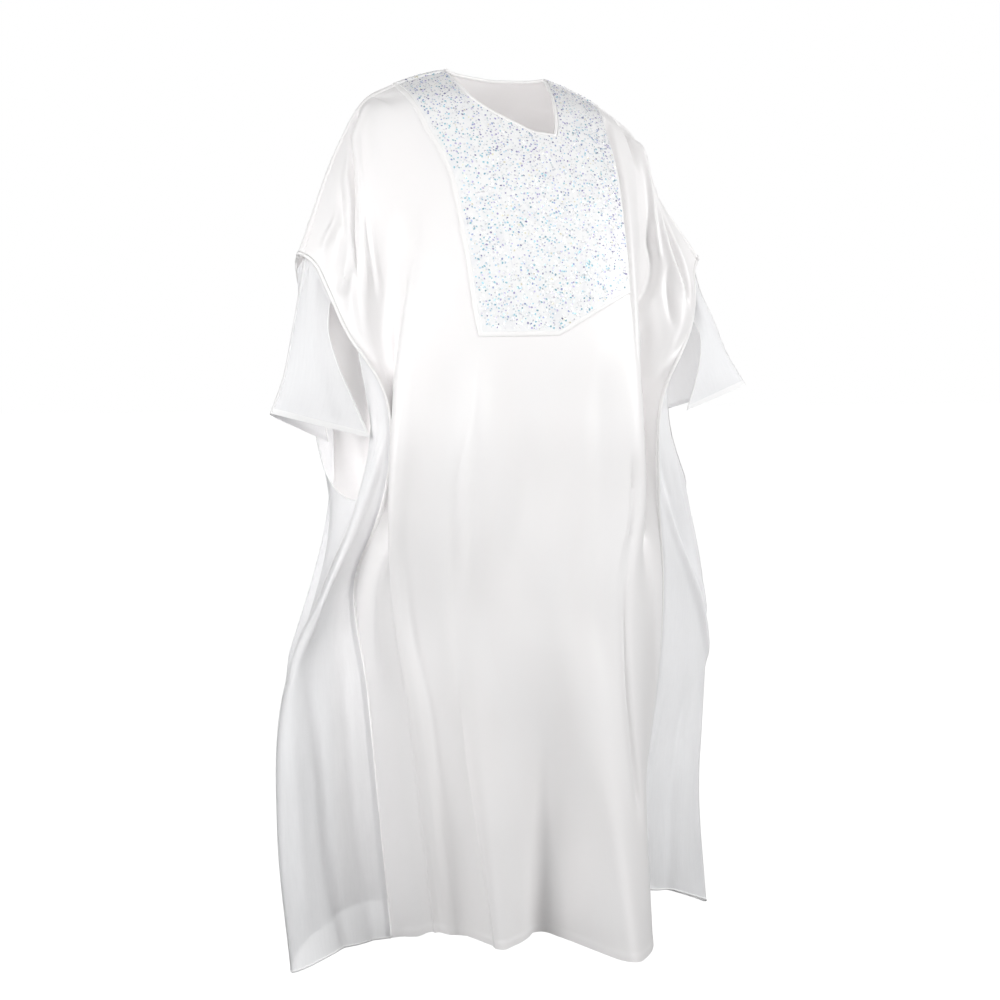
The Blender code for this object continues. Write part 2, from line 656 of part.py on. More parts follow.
def add_neck_binding(front_grid, back_grid):
    """The binding that closes the cut edge of the neck, a closed ring."""
    path, normals = neckline(front_grid, back_grid)
    centre = sum(path, Vector()) / len(path)
    sides = mitred(path, normals, closed=True)
    if sides[0].dot(path[0] - centre) > 0.0:
        sides = [-side for side in sides]
    shift = SEAM_GAP + NECK_BINDING_WIDTH * 0.5
    lift = (BIB_WALL + SEAM_GAP) * 0.5
    centred = [point + side * shift + normal * lift
               for point, side, normal in zip(path, sides, normals)]
    return add_strip("neck_binding", centred, sides, normals, NECK_BINDING_WIDTH,
                     NECK_BINDING_THICK, "satin_trim", closed=True)


def edge_sides(grid, is_right):
    """Directions out past a side edge, square to it; the first lies along the shoulder seam."""
    points, normals = grid.edge(is_right)
    sides = mitred(points, normals)
    column = 0 if is_right else COLUMN_COUNT - 1
    inner = column + (1 if is_right else -1)
    seam = (grid.points[0][column] - grid.points[0][inner]).normalized()
    if sides[0].dot(seam) < 0.0:
        sides = [-side for side in sides]
    sides[0] = seam / max(MITRE_LIMIT, seam.dot(sides[0]))
    return sides


def piping_centres(grid, is_right):
    points, _ = grid.edge(is_right)
    sides = edge_sides(grid, is_right)
    reach = SEAM_GAP + EDGE_BINDING_WIDTH * 0.5
    return [point + side * reach for point, side in zip(points, sides)]


def add_piping(node, grid, is_right):
    """The piping along a panel's side, from the cap's tip to the hem."""
    _, normals = grid.edge(is_right)
    return add_strip(node, piping_centres(grid, is_right), edge_sides(grid, is_right), normals,
                     EDGE_BINDING_WIDTH, EDGE_BINDING_THICK, "satin_trim")


def gore_start(centre, side, normal, seam):
    """The gore's end beside the piping, on the side of the piping that faces the seam."""
    target = seam - centre
    angle = math.atan2(target.dot(normal), target.dot(side))
    angle = min(max(angle, -0.5 * math.pi), 0.5 * math.pi)
    past = EDGE_BINDING_WIDTH * 0.5 + SEAM_GAP + ORGANZA_WALL * 0.5
    beside = EDGE_BINDING_THICK * 0.5 + SEAM_GAP + ORGANZA_WALL * 0.5
    return centre + side * (past * math.cos(angle)) + normal * (beside * math.sin(angle))


def add_gore(node, grid, is_right, seam_table, belly, armhole):
    """A sheer gore from a panel's piped edge to the side seam; its top is the armhole."""
    facing = grid.panel.facing
    outside = -1.0 if is_right else 1.0
    _, normals = grid.edge(is_right)
    sides = edge_sides(grid, is_right)
    centres = piping_centres(grid, is_right)
    column = 0 if is_right else COLUMN_COUNT - 1
    first_row = grid.armhole_row - GORE_ROWS_ABOVE[0 if is_right else 1]
    top_section = grid.sections[first_row][column]
    leaving, arriving = [Vector((-outside * inwards, facing * away, up))
                         for inwards, away, up in armhole]
    points = []
    for row in range(first_row, len(grid.sections)):
        past_top = grid.sections[row][column] - top_section
        share_down = past_top / (LAST_SECTION - top_section)
        section = UNDERARM_SECTION + (LAST_SECTION - UNDERARM_SECTION) * share_down
        seam = table_point(seam_table, section)
        seam.y += facing * SEAM_GAP
        start = gore_start(centres[row], sides[row].normalized(), normals[row], seam)
        width = (seam - start).length
        leave, arrive, lean = (table_value(belly, section, item) for item in (1, 2, 3))
        first = start + (seam - start) * GORE_REACH + Vector((outside * width * leave, 0.0, 0.0))
        turned = Vector((-outside * lean * facing, facing, 0.0))
        second = seam + turned * (width * arrive)
        weight = max(0.0, 1.0 - past_top / ARMHOLE_FADE) ** 2
        first = first.lerp(start + leaving, weight)
        second = second.lerp(seam + arriving, weight)
        line = []
        for index in range(GORE_STEPS + 1):
            share = index / GORE_STEPS
            rest = 1.0 - share
            point = (start * rest ** 3 + first * (3.0 * rest * rest * share)
                     + second * (3.0 * rest * share * share) + seam * share ** 3)
            point.z += table_value(GORE_HEM, share) * hem_growth(section)
            line.append(point)
        points.append(line)
    return add_wall(node, points, grid_normals(points, outside), -ORGANZA_WALL * 0.5,
                    ORGANZA_WALL, "organza")


class CapEdge:
    """Frames along a cap's edge, from the front (-1) over the tip (0) to the rear (+1)."""

    def __init__(self, front_grid, back_grid, is_right):
        self.frames = []
        for grid, direction in ((front_grid, -1.0), (back_grid, 1.0)):
            points, normals = grid.edge(is_right)
            sides = edge_sides(grid, is_right)
            column = 0 if is_right else COLUMN_COUNT - 1
            for row, sections in enumerate(grid.sections):
                section = sections[column]
                if section <= SLEEVE_SECTION:
                    place = direction * section / SLEEVE_SECTION
                    self.frames.append((place, points[row], normals[row], sides[row]))
        self.frames.sort(key=lambda frame: frame[0])
        self.tip_inward = -self.frame(0.0)[1].normalized()

    def frame(self, place):
        """Point, outward normal and direction past the edge."""
        low = self.frames[0]
        high = self.frames[-1]
        for first, second in zip(self.frames, self.frames[1:]):
            if first[0] <= place <= second[0]:
                low = first
                high = second
                break
        span = high[0] - low[0]
        share = (place - low[0]) / span if span > 0.0 else 0.0
        share = min(max(share, 0.0), 1.0)
        return [low[item].lerp(high[item], share) for item in (1, 2, 3)]

    def opening(self, place):
        """0 inside the tip, where the two edges are close, and 1 where they are well apart."""
        gap = (self.frame(place)[0] - self.frame(-place)[0]).length
        return min(max((gap - TIP_GAP) / (OPEN_GAP - TIP_GAP), 0.0), 1.0)

    def under(self, place, past, drop):
        """A point past the edge by a distance, and under the cloth."""
        point, normal, side = self.frame(place)
        opening = self.opening(place)
        inward = self.tip_inward * TIP_TUCK
        inward = inward.lerp(-normal.normalized() * SLEEVE_TUCK, opening)
        reach = side.normalized() * (past * opening if past > 0.0 else past)
        return point + reach + inward - Vector((0.0, 0.0, drop * (1.0 - opening)))


def sleeve_section(lines, position, outside):
    """The five points that a level of the sleeve runs through."""
    belly = listed(SLEEVE_BELLY, position)
    ends = [spline(lines[name], position) for name in ("front", "over", "rear")]
    middles = []
    for low, high in zip(ends, ends[1:]):
        across = high - low
        bend = Vector((-across.y, across.x, 0.0)) * belly
        if bend.x * outside < 0.0:
            bend.negate()
        middles.append(low.lerp(high, 0.5) + bend)
    return [ends[0], middles[0], ends[1], middles[1], ends[2]]


def add_sleeve(node, front_grid, back_grid, is_right, table):
    """An open sheer sleeve that falls from inside the cap, from its front edge to its rear."""
    outside = -1.0 if is_right else 1.0
    lines = fold_vectors(table)
    cap = CapEdge(front_grid, back_grid, is_right)
    places = [-place for place in reversed(SLEEVE_PLACES[1:])] + list(SLEEVE_PLACES)
    beyond = EDGE_BINDING_WIDTH + SEAM_GAP + SLEEVE_TUCK
    points = [[cap.under(place, -SLEEVE_INSET, 0.0) for place in places],
              [cap.under(place, beyond, TIP_DROP) for place in places]]
    last = len(SLEEVE_BELLY) - 1
    top = sleeve_section(lines, 0.0, outside)
    for row in range(1, SLEEVE_ROWS + 1):
        share = row / SLEEVE_ROWS
        controls = sleeve_section(lines, share * last, outside)
        fade = max(0.0, 1.0 - share / SLEEVE_FADE) ** 2
        line = []
        for place, rim in zip(places, points[1]):
            position = (place + 1.0) * 2.0
            point = spline(controls, position)
            line.append(point + (rim - spline(top, position)) * fade)
        points.append(line)
    return add_wall(node, points, grid_normals(points, outside), -ORGANZA_WALL * 0.5,
                    ORGANZA_WALL, "organza")


def build():
    for thing in list(bpy.data.objects):
        bpy.data.objects.remove(thing, do_unlink=True)
    right = fold_vectors(RIGHT_FRONT)
    left = fold_vectors(LEFT_FRONT)
    front = Panel(right, left, FRONT_BULGE, NECK_RISE, FRONT_WAVES, FRONT_HEM,
                  NECK_FRONT, -1.0)
    back = Panel(back_vectors(right, -1.0), back_vectors(left, 1.0), BACK_BULGE,
                 BACK_NECK_RISE, BACK_WAVES, BACK_HEM, NECK_BACK, 1.0)
    front_grid = Grid(front, BIB_ROWS, True)
    back_grid = Grid(back, BACK_UPPER_ROWS, False)
    for node, grid in (("front_panel", front_grid), ("back_panel", back_grid)):
        add_wall(node, grid.points, grid.normals, -SATIN_WALL * 0.5, SATIN_WALL, "satin")
    add_bib(front_grid)
    add_bib_band(front_grid)
    add_neck_binding(front_grid, back_grid)
    for name, is_right, sleeve, seam, belly in (
            ("right", True, RIGHT_SLEEVE, RIGHT_SIDE_SEAM, RIGHT_BELLY),
            ("left", False, LEFT_SLEEVE, LEFT_SIDE_SEAM, LEFT_BELLY)):
        add_piping("front_piping_" + name, front_grid, is_right)
        add_piping("back_piping_" + name, back_grid, is_right)
        add_gore("front_gore_" + name, front_grid, is_right, seam, belly, FRONT_ARMHOLE)
        add_gore("back_gore_" + name, back_grid, is_right, seam, BACK_BELLY, BACK_ARMHOLE)
        add_sleeve("sleeve_" + name, front_grid, back_grid, is_right, sleeve)


build()
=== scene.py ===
import math

import bpy
import numpy as np
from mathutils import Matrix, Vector


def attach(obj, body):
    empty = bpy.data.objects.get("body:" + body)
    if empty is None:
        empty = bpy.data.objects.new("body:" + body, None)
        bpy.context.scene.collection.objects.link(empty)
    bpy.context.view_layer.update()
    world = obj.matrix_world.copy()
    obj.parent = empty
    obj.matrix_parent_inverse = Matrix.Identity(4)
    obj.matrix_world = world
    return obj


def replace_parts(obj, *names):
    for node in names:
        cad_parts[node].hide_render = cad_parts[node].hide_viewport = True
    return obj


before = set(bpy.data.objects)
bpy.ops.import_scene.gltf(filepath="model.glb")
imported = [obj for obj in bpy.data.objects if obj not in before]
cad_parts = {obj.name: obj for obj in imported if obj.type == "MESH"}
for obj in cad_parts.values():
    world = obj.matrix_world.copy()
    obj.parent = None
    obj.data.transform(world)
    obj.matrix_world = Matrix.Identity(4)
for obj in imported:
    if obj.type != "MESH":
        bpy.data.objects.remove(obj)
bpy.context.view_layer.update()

# Grand boubou robe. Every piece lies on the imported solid's own surface, worked out from the
# same fold lines at a finer step, with creases, seams, hems and sewing added. Metres, +Z up,
# the front faces -Y and the wearer's left is +X.

# ------------------------------------------------------------------ driving sizes (metres)
SATIN_WALL = 0.0016
ORGANZA_WALL = 0.0011
BIB_WALL = 0.0012
BAND_WALL = 0.0012
SEAM_GAP = 0.0004
BIB_LIFT = SATIN_WALL * 0.5 + SEAM_GAP  # from the middle of the front's cloth to the bib
EDGE_BINDING_WIDTH = 0.006
EDGE_BINDING_THICK = 0.0034
NECK_BINDING_WIDTH = 0.0055
NECK_BINDING_THICK = 0.0042
MITRE_LIMIT = 0.55              # bands grow no wider than this allows at a corner
GORE_REACH = 0.30               # share of a gore's width where its belly starts
SLEEVE_INSET = 0.004            # how far inside the cap's edge the sleeve starts
SLEEVE_TUCK = 0.0048            # how far under the cap's cloth it lies there
TIP_TUCK = 0.0110               # the same next to the cap's tip, where its two sides meet
TIP_DROP = 0.0080               # how far the sleeve hangs down inside the tip
TIP_GAP = 0.016                 # the cap's two edges are this far apart where the tip ends
OPEN_GAP = 0.044                # and this far where the sleeve comes out between them
LAST_SECTION = 10.0
ARMHOLE_SECTION = 4.75          # where a panel's rows become level
UNDERARM_SECTION = 6.0          # the side seam's top, the lowest point of the armhole
GORE_ROWS_ABOVE = (2, 0)        # rows above that where the right and left gores start
ARMHOLE_FADE = 1.7              # sections over which the gore's lines turn from the armhole's
SLEEVE_SECTION = 3.4            # the sleeve is sewn along the cap's edge up to here

# mesh density
FRONT_UPPER_ROWS = 12           # rows from the neck to the bib's foot
BACK_UPPER_ROWS = 8             # rows from the neck as far down as that at the back
FOOT_ROWS = 4.0                 # rows from the bib's foot down to where they are level
LOWER_ROWS = 13                 # rows from there to the hem
GORE_STEPS = 56                 # columns of a gore
SLEEVE_HALF_STEPS = 40          # columns of a sleeve from its middle to each edge
SLEEVE_ROWS = 56
SLEEVE_CROWDING = 1.15          # they lie closer together near its middle
TRACK_STEPS = 40                # points along a crease
ROW_CROWDING = 0.3              # rows lie this much closer together near the neck

# ------------------------------------------------------------------ fold lines of the front
# One row per section, 0 at the shoulder seam and 10 at the hem. Columns: x, y, z.
RIGHT_FRONT = {
    "edge": [
        (-0.367, -0.020, -0.306), (-0.358, -0.034, -0.313), (-0.348, -0.047, -0.327),
        (-0.336, -0.060, -0.360), (-0.315, -0.080, -0.422), (-0.266, -0.122, -0.535),
        (-0.259, -0.100, -0.690), (-0.278, -0.030, -0.824), (-0.257, -0.028, -1.000),
        (-0.233, -0.020, -1.210), (-0.208, -0.010, -1.410)],
    "wing": [
        (-0.303, -0.012, -0.150), (-0.305, -0.038, -0.172), (-0.308, -0.063, -0.215),
        (-0.308, -0.082, -0.295), (-0.288, -0.098, -0.420), (-0.243, -0.090, -0.550),
        (-0.240, -0.096, -0.697), (-0.264, -0.068, -0.830), (-0.259, -0.062, -1.010),
        (-0.235, -0.057, -1.215), (-0.210, -0.050, -1.397)],
    "valley": [
        (-0.251, -0.004, -0.068), (-0.255, -0.047, -0.094), (-0.259, -0.079, -0.168),
        (-0.256, -0.092, -0.280), (-0.240, -0.096, -0.420), (-0.232, -0.088, -0.560),
        (-0.233, -0.106, -0.700), (-0.274, -0.106, -0.838), (-0.254, -0.102, -1.022),
        (-0.229, -0.100, -1.222), (-0.204, -0.096, -1.385)],
    "fold": [
        (-0.212, 0.000, -0.045), (-0.210, -0.052, -0.076), (-0.206, -0.094, -0.156),
        (-0.213, -0.125, -0.280), (-0.247, -0.150, -0.420), (-0.266, -0.168, -0.560),
        (-0.280, -0.165, -0.700), (-0.268, -0.150, -0.845), (-0.239, -0.150, -1.030),
        (-0.214, -0.149, -1.225), (-0.192, -0.142, -1.368)],
}
LEFT_FRONT = {
    "edge": [
        (0.367, -0.020, -0.292), (0.350, -0.034, -0.318), (0.344, -0.046, -0.346),
        (0.339, -0.054, -0.380), (0.317, -0.073, -0.420), (0.233, -0.113, -0.540),
        (0.228, -0.112, -0.695), (0.259, -0.083, -0.850), (0.255, -0.075, -1.015),
        (0.212, -0.080, -1.205), (0.207, -0.070, -1.375)],
    "wing": [
        (0.285, -0.010, -0.184), (0.278, -0.044, -0.210), (0.286, -0.066, -0.256),
        (0.307, -0.078, -0.320), (0.284, -0.093, -0.418), (0.214, -0.086, -0.552),
        (0.207, -0.103, -0.698), (0.233, -0.101, -0.848), (0.234, -0.106, -1.020),
        (0.203, -0.110, -1.213), (0.200, -0.104, -1.386)],
    "valley": [
        (0.246, -0.004, -0.096), (0.240, -0.038, -0.124), (0.235, -0.060, -0.190),
        (0.226, -0.074, -0.295), (0.212, -0.074, -0.420), (0.203, -0.064, -0.560),
        (0.199, -0.080, -0.700), (0.199, -0.140, -0.846), (0.203, -0.138, -1.025),
        (0.189, -0.142, -1.220), (0.189, -0.146, -1.402)],
    "fold": [
        (0.195, 0.000, -0.058), (0.183, -0.050, -0.090), (0.170, -0.100, -0.168),
        (0.156, -0.144, -0.288), (0.152, -0.168, -0.420), (0.156, -0.180, -0.560),
        (0.162, -0.180, -0.700), (0.140, -0.187, -0.845), (0.142, -0.190, -1.030),
        (0.156, -0.196, -1.226), (0.160, -0.214, -1.424)],
}
# ------------------------------------------------------------------ fold lines of the back
# x is the distance from the centre line, used on both sides; section 0 is the front's.
BACK_FOLDS = {
    "edge": [
        (0.364, -0.003, -0.318), (0.356, 0.012, -0.343), (0.338, 0.038, -0.372),
        (0.314, 0.062, -0.420), (0.262, 0.108, -0.535), (0.250, 0.121, -0.690),
        (0.248, 0.128, -0.830), (0.246, 0.138, -1.010), (0.243, 0.144, -1.210),
        (0.241, 0.150, -1.410)],
    "wing": [
        (0.294, 0.016, -0.190), (0.304, 0.042, -0.215), (0.306, 0.066, -0.295),
        (0.288, 0.084, -0.415), (0.240, 0.088, -0.548), (0.230, 0.112, -0.695),
        (0.233, 0.138, -0.835), (0.230, 0.152, -1.015), (0.226, 0.158, -1.213),
        (0.222, 0.164, -1.408)],
    "valley": [
        (0.246, 0.034, -0.102), (0.248, 0.052, -0.170), (0.242, 0.062, -0.278),
        (0.226, 0.066, -0.415), (0.212, 0.070, -0.552), (0.210, 0.100, -0.700),
        (0.218, 0.152, -0.838), (0.212, 0.164, -1.020), (0.206, 0.170, -1.216),
        (0.200, 0.176, -1.406)],
    "fold": [
        (0.192, 0.044, -0.078), (0.200, 0.082, -0.155), (0.212, 0.112, -0.275),
        (0.236, 0.134, -0.415), (0.246, 0.146, -0.555), (0.233, 0.152, -0.700),
        (0.202, 0.166, -0.840), (0.190, 0.174, -1.025), (0.182, 0.180, -1.220),
        (0.174, 0.186, -1.405)],
}
# Between the two fold lines the cloth stands out over the chest or the back, and at the
# top it climbs to the neck. One row per section.
FRONT_BULGE = (0.000, 0.020, 0.028, 0.026, 0.018, 0.012, 0.012, 0.013, 0.016, 0.022, 0.024)
BACK_BULGE = (0.000, 0.016, 0.020, 0.020, 0.016, 0.012, 0.014, 0.018, 0.022, 0.026, 0.030)
NECK_RISE = (0.050, 0.026, 0.006, 0.000, 0.000, 0.000, 0.000, 0.000, 0.000, 0.000, 0.000)
BACK_NECK_RISE = (0.050, 0.034, 0.012, 0.000, 0.000, 0.000, 0.000, 0.000, 0.000, 0.000, 0.000)

# Long soft folds of the middle of each panel. place and half_width are fractions of the
# way across, first_section is where the fold starts, depth is at the hem (+ stands out).
#    place  half_width  first_section  depth
FRONT_WAVES = (
    (0.06, 0.10, 5.0, -0.012),
    (0.20, 0.16, 6.0, 0.030),
    (0.565, 0.24, 7.4, -0.060),
    (0.80, 0.20, 7.2, 0.048),
)
BACK_WAVES = (
    (0.20, 0.18, 4.0, -0.022),
    (0.42, 0.20, 5.0, 0.024),
    (0.62, 0.18, 4.5, -0.028),
    (0.82, 0.18, 5.5, 0.020),
)

WAVE_GROWTH = 1.4               # they deepen with this power of the way down

# The front's hem dips between its folds: place, rise.
FRONT_HEM = (
    (0.0, 0.000), (0.10, -0.010), (0.25, -0.010), (0.33, -0.004), (0.43, 0.010),
    (0.51, 0.006), (0.59, 0.000), (0.75, -0.010), (0.86, -0.010), (0.95, -0.007), (1.0, 0.000))
BACK_HEM = ((0.0, 0.000), (0.30, -0.006), (0.55, 0.004), (0.80, -0.006), (1.0, 0.000))
# The gores' hems rise between their seams: share of the way to the side seam, rise.
GORE_HEM = ((0.0, 0.000), (0.25, 0.010), (0.45, 0.016), (0.70, 0.008), (1.0, 0.000))
HEM_RISE_SECTION = 8.5          # the rises grow from here down to the hem

# ------------------------------------------------------------------ bib, neckline and mesh lines
# The bib's side edges as fractions across the middle, per section. Below the bib the same
# two mesh lines drift to an even spacing.
BIB_SIDES = (
    (0.0, 0.055, 0.935), (1.0, 0.060, 0.930), (1.6, 0.080, 0.930), (2.0, 0.115, 0.932),
    (2.3, 0.142, 0.934), (3.0, 0.180, 0.955), (3.6, 0.245, 0.952), (4.2, 0.310, 0.950),
    (7.0, 0.200, 0.880), (10.0, 0.200, 0.880))
BAND_PLACE = 0.0200             # the bib band's width as a fraction across the middle
BAND_SECTIONS = 0.053           # the same width counted in sections
# share across the bib, section of its lower edge
BIB_FOOT = ((0.0, 4.08), (0.50, 4.06), (0.58, 3.99), (1.0, 3.56))
# How far down the sections the neck is cut: share across the bib, section.
NECK_FRONT = (
    (0.217, 0.00), (0.230, 0.66), (0.252, 1.08), (0.321, 1.33), (0.435, 1.51), (0.561, 1.63),
    (0.655, 1.63), (0.690, 1.41), (0.717, 0.95), (0.735, 0.46), (0.756, 0.00))
NECK_BACK = (
    (0.217, 0.00), (0.290, 0.26), (0.390, 0.40), (0.490, 0.46), (0.600, 0.40),
    (0.700, 0.24), (0.756, 0.00))
# Mesh lines across the bib, as shares of its width.
BIB_LINES = (
    0.0, 0.085, 0.160, 0.217, 0.230, 0.252, 0.321, 0.380, 0.435, 0.500, 0.561, 0.610,
    0.655, 0.690, 0.717, 0.735, 0.756, 0.835, 0.915, 1.0)
NECK_FIRST_LINE = 3             # lines of BIB_LINES where the neck opening starts and ends
NECK_LAST_LINE = 16

# ------------------------------------------------------------------ side seams of the gores
# section, x, y, z
RIGHT_SIDE_SEAM = (
    (6.0, -0.252, 0.004, -0.696), (7.0, -0.322, 0.004, -0.832),
    (8.0, -0.392, 0.006, -1.010), (9.0, -0.412, -0.022, -1.212), (10.0, -0.402, -0.050, -1.424))
LEFT_SIDE_SEAM = (
    (6.0, 0.342, -0.014, -0.702), (7.0, 0.390, -0.006, -0.850),
    (8.0, 0.394, 0.000, -1.020), (9.0, 0.379, -0.004, -1.215), (10.0, 0.386, -0.026, -1.424))
# How the gores belly between their seams. leave and arrive are shares of their width, lean
# is how far a gore turns inwards as it goes back from the side seam.
# seam section, leave, arrive, lean
RIGHT_BELLY = (
    (6.0, 0.18, 0.30, 0.35), (7.0, 0.14, 0.34, 0.35), (8.0, 0.10, 0.36, 0.35),
    (9.0, 0.02, 0.34, 0.35), (10.0, -0.06, 0.30, 0.35))
LEFT_BELLY = (
    (6.0, 0.08, 0.12, 0.00), (7.0, 0.00, 0.10, 0.00), (7.4, 0.06, 0.22, 0.20),
    (8.0, 0.03, 0.25, 0.18), (9.0, -0.02, 0.30, 0.22), (10.0, -0.10, 0.26, 0.20))
BACK_BELLY = (
    (6.0, 0.02, 0.28, 0.20), (6.6, -0.06, 0.28, 0.20), (7.0, -0.04, 0.30, 0.30),
    (8.0, 0.06, 0.34, 0.35), (9.0, 0.02, 0.34, 0.35), (10.0, -0.06, 0.30, 0.35))
# How the armhole's edge leaves the piping and arrives under the arm: inwards, away from the
# middle towards the front or back, up.
FRONT_ARMHOLE = ((0.018, 0.012, -0.120), (0.010, 0.066, 0.026))
BACK_ARMHOLE = ((-0.018, 0.000, -0.150), (-0.038, 0.064, -0.012))

# ------------------------------------------------------------------ sleeves
# Lines from the cap down to the sleeve's hem. Columns: x, y, z.
RIGHT_SLEEVE = {
    "front": [
        (-0.334, -0.058, -0.376), (-0.341, -0.070, -0.425), (-0.334, -0.084, -0.475),
        (-0.314, -0.097, -0.532), (-0.291, -0.108, -0.592)],
    "over": [
        (-0.358, -0.020, -0.316), (-0.368, -0.022, -0.365), (-0.382, -0.026, -0.430),
        (-0.401, -0.036, -0.500), (-0.428, -0.050, -0.556)],
    "rear": [
        (-0.320, 0.036, -0.376), (-0.312, 0.044, -0.430), (-0.306, 0.052, -0.485),
        (-0.299, 0.056, -0.545), (-0.289, 0.058, -0.604)],
}
LEFT_SLEEVE = {
    "front": [
        (0.333, -0.058, -0.386), (0.338, -0.074, -0.425), (0.330, -0.088, -0.465),
        (0.312, -0.100, -0.510), (0.290, -0.110, -0.556)],
    "over": [
        (0.354, -0.019, -0.303), (0.366, -0.028, -0.350), (0.386, -0.042, -0.402),
        (0.403, -0.060, -0.460), (0.428, -0.080, -0.514)],
    "rear": [
        (0.332, 0.034, -0.376), (0.340, 0.040, -0.420), (0.337, 0.044, -0.468),
        (0.328, 0.046, -0.518), (0.318, 0.048, -0.566)],
}
SLEEVE_BELLY = (0.10, 0.14, 0.12, 0.08, 0.02)
SLEEVE_FADE = 0.5               # share of the sleeve's length that still follows the cap

# ------------------------------------------------------------------ seams, hems and sewing
# Of a sewn valley: depth, distance of its middle from the edge, width.
# Of a pressed layer: height, how far it reaches, how softly it ends.
SEAM_GROOVE = (0.0007, 0.0, 0.0014)
SEAM_LAYER = (0.0012, 0.0125, 0.003)
SEAM_VALLEY = (0.0026, 0.0078, 0.0017)
HEM_LAYER = (0.0006, 0.0165, 0.004)
HEM_VALLEY = (0.0005, 0.0135, 0.0016)
PUCKERS = ((0.035, 410.0, 0.0), (0.03, 137.0, 1.0))     # share, waves per metre, phase
# Of a rolled edge: width, thickness. Of a second layer: width, lift off the first.
ARMHOLE_ROLL = (0.0030, 0.0018)
GORE_HEM_ROLL = (0.0034, 0.0022)
SLEEVE_EDGE_ROLL = (0.0048, 0.0016)
SLEEVE_SEAM_ROLL = (0.0068, 0.0020)
GORE_ALLOWANCE = (0.010, -0.0008)
FRENCH_SEAM = (0.006, 0.0008)
CUFF_HEM = (0.009, 0.0007)
CREASE_HOLD = 0.012             # organza creases die away over this distance from a seam
STITCHED_COLUMN = 2             # mesh columns from the edge to its line of stitches
STITCH_PITCH = 0.0032
STITCH_LENGTH = 0.0024
STITCH_WIDTH = 0.0005
STITCH_MARGIN = 0.004           # the line stops this far from the ends of the edge
TUBE_FLATNESS = 0.8             # below 1 a binding's section is fuller than an oval
TUBE_RADIUS = 0.002             # of a binding laid flat, for its weave

# ------------------------------------------------------------------ finer steps
WING_STEPS = 33                 # columns between two fold lines of a wing
# mesh lines from the fold line to the bib's edge
PLACES_BESIDE_BIB = (9.0, 9.12, 9.24, 9.4, 9.6, 9.8, 10.0, 10.5, 11.0, 11.25, 11.5, 11.75, 12.0)
SETTLED_ROW = 8                 # first row where an edge's own direction is used
CREASE_REACH = 4.0              # how many widths of a crease it takes to come and to go
CREASE_FADE = (0.10, 0.40)      # and the least and most share of its length
CREASE_SECTIONS = 1.0           # it is felt up to this many sections past its ends
OPEN_SECTION = 9.9              # a crease that ends below this runs out through the hem
BIB_STEP = 3                    # columns between two of the bib's lines
BAND_STEPS = 6                  # of the band: steps across it, along it from one mesh line to
BAND_ALONG_STEPS = 4            # the next, and down it from one row to the next
BAND_DOWN_STEPS = 5
UPPER_STEP = 5                  # fine rows to a coarse one above the armhole
LOWER_STEP = 6                  # and below it
# how the first and the last coarse row are divided
TOP_ROWS = (0.0, 0.04, 0.08, 0.13, 0.19, 0.27, 0.38, 0.52, 0.68, 0.84, 1.0)
HEM_ROWS = (0.10, 0.20, 0.30, 0.40, 0.50, 0.60, 0.68, 0.75, 0.80, 0.84, 0.88, 0.92, 0.96, 1.0)


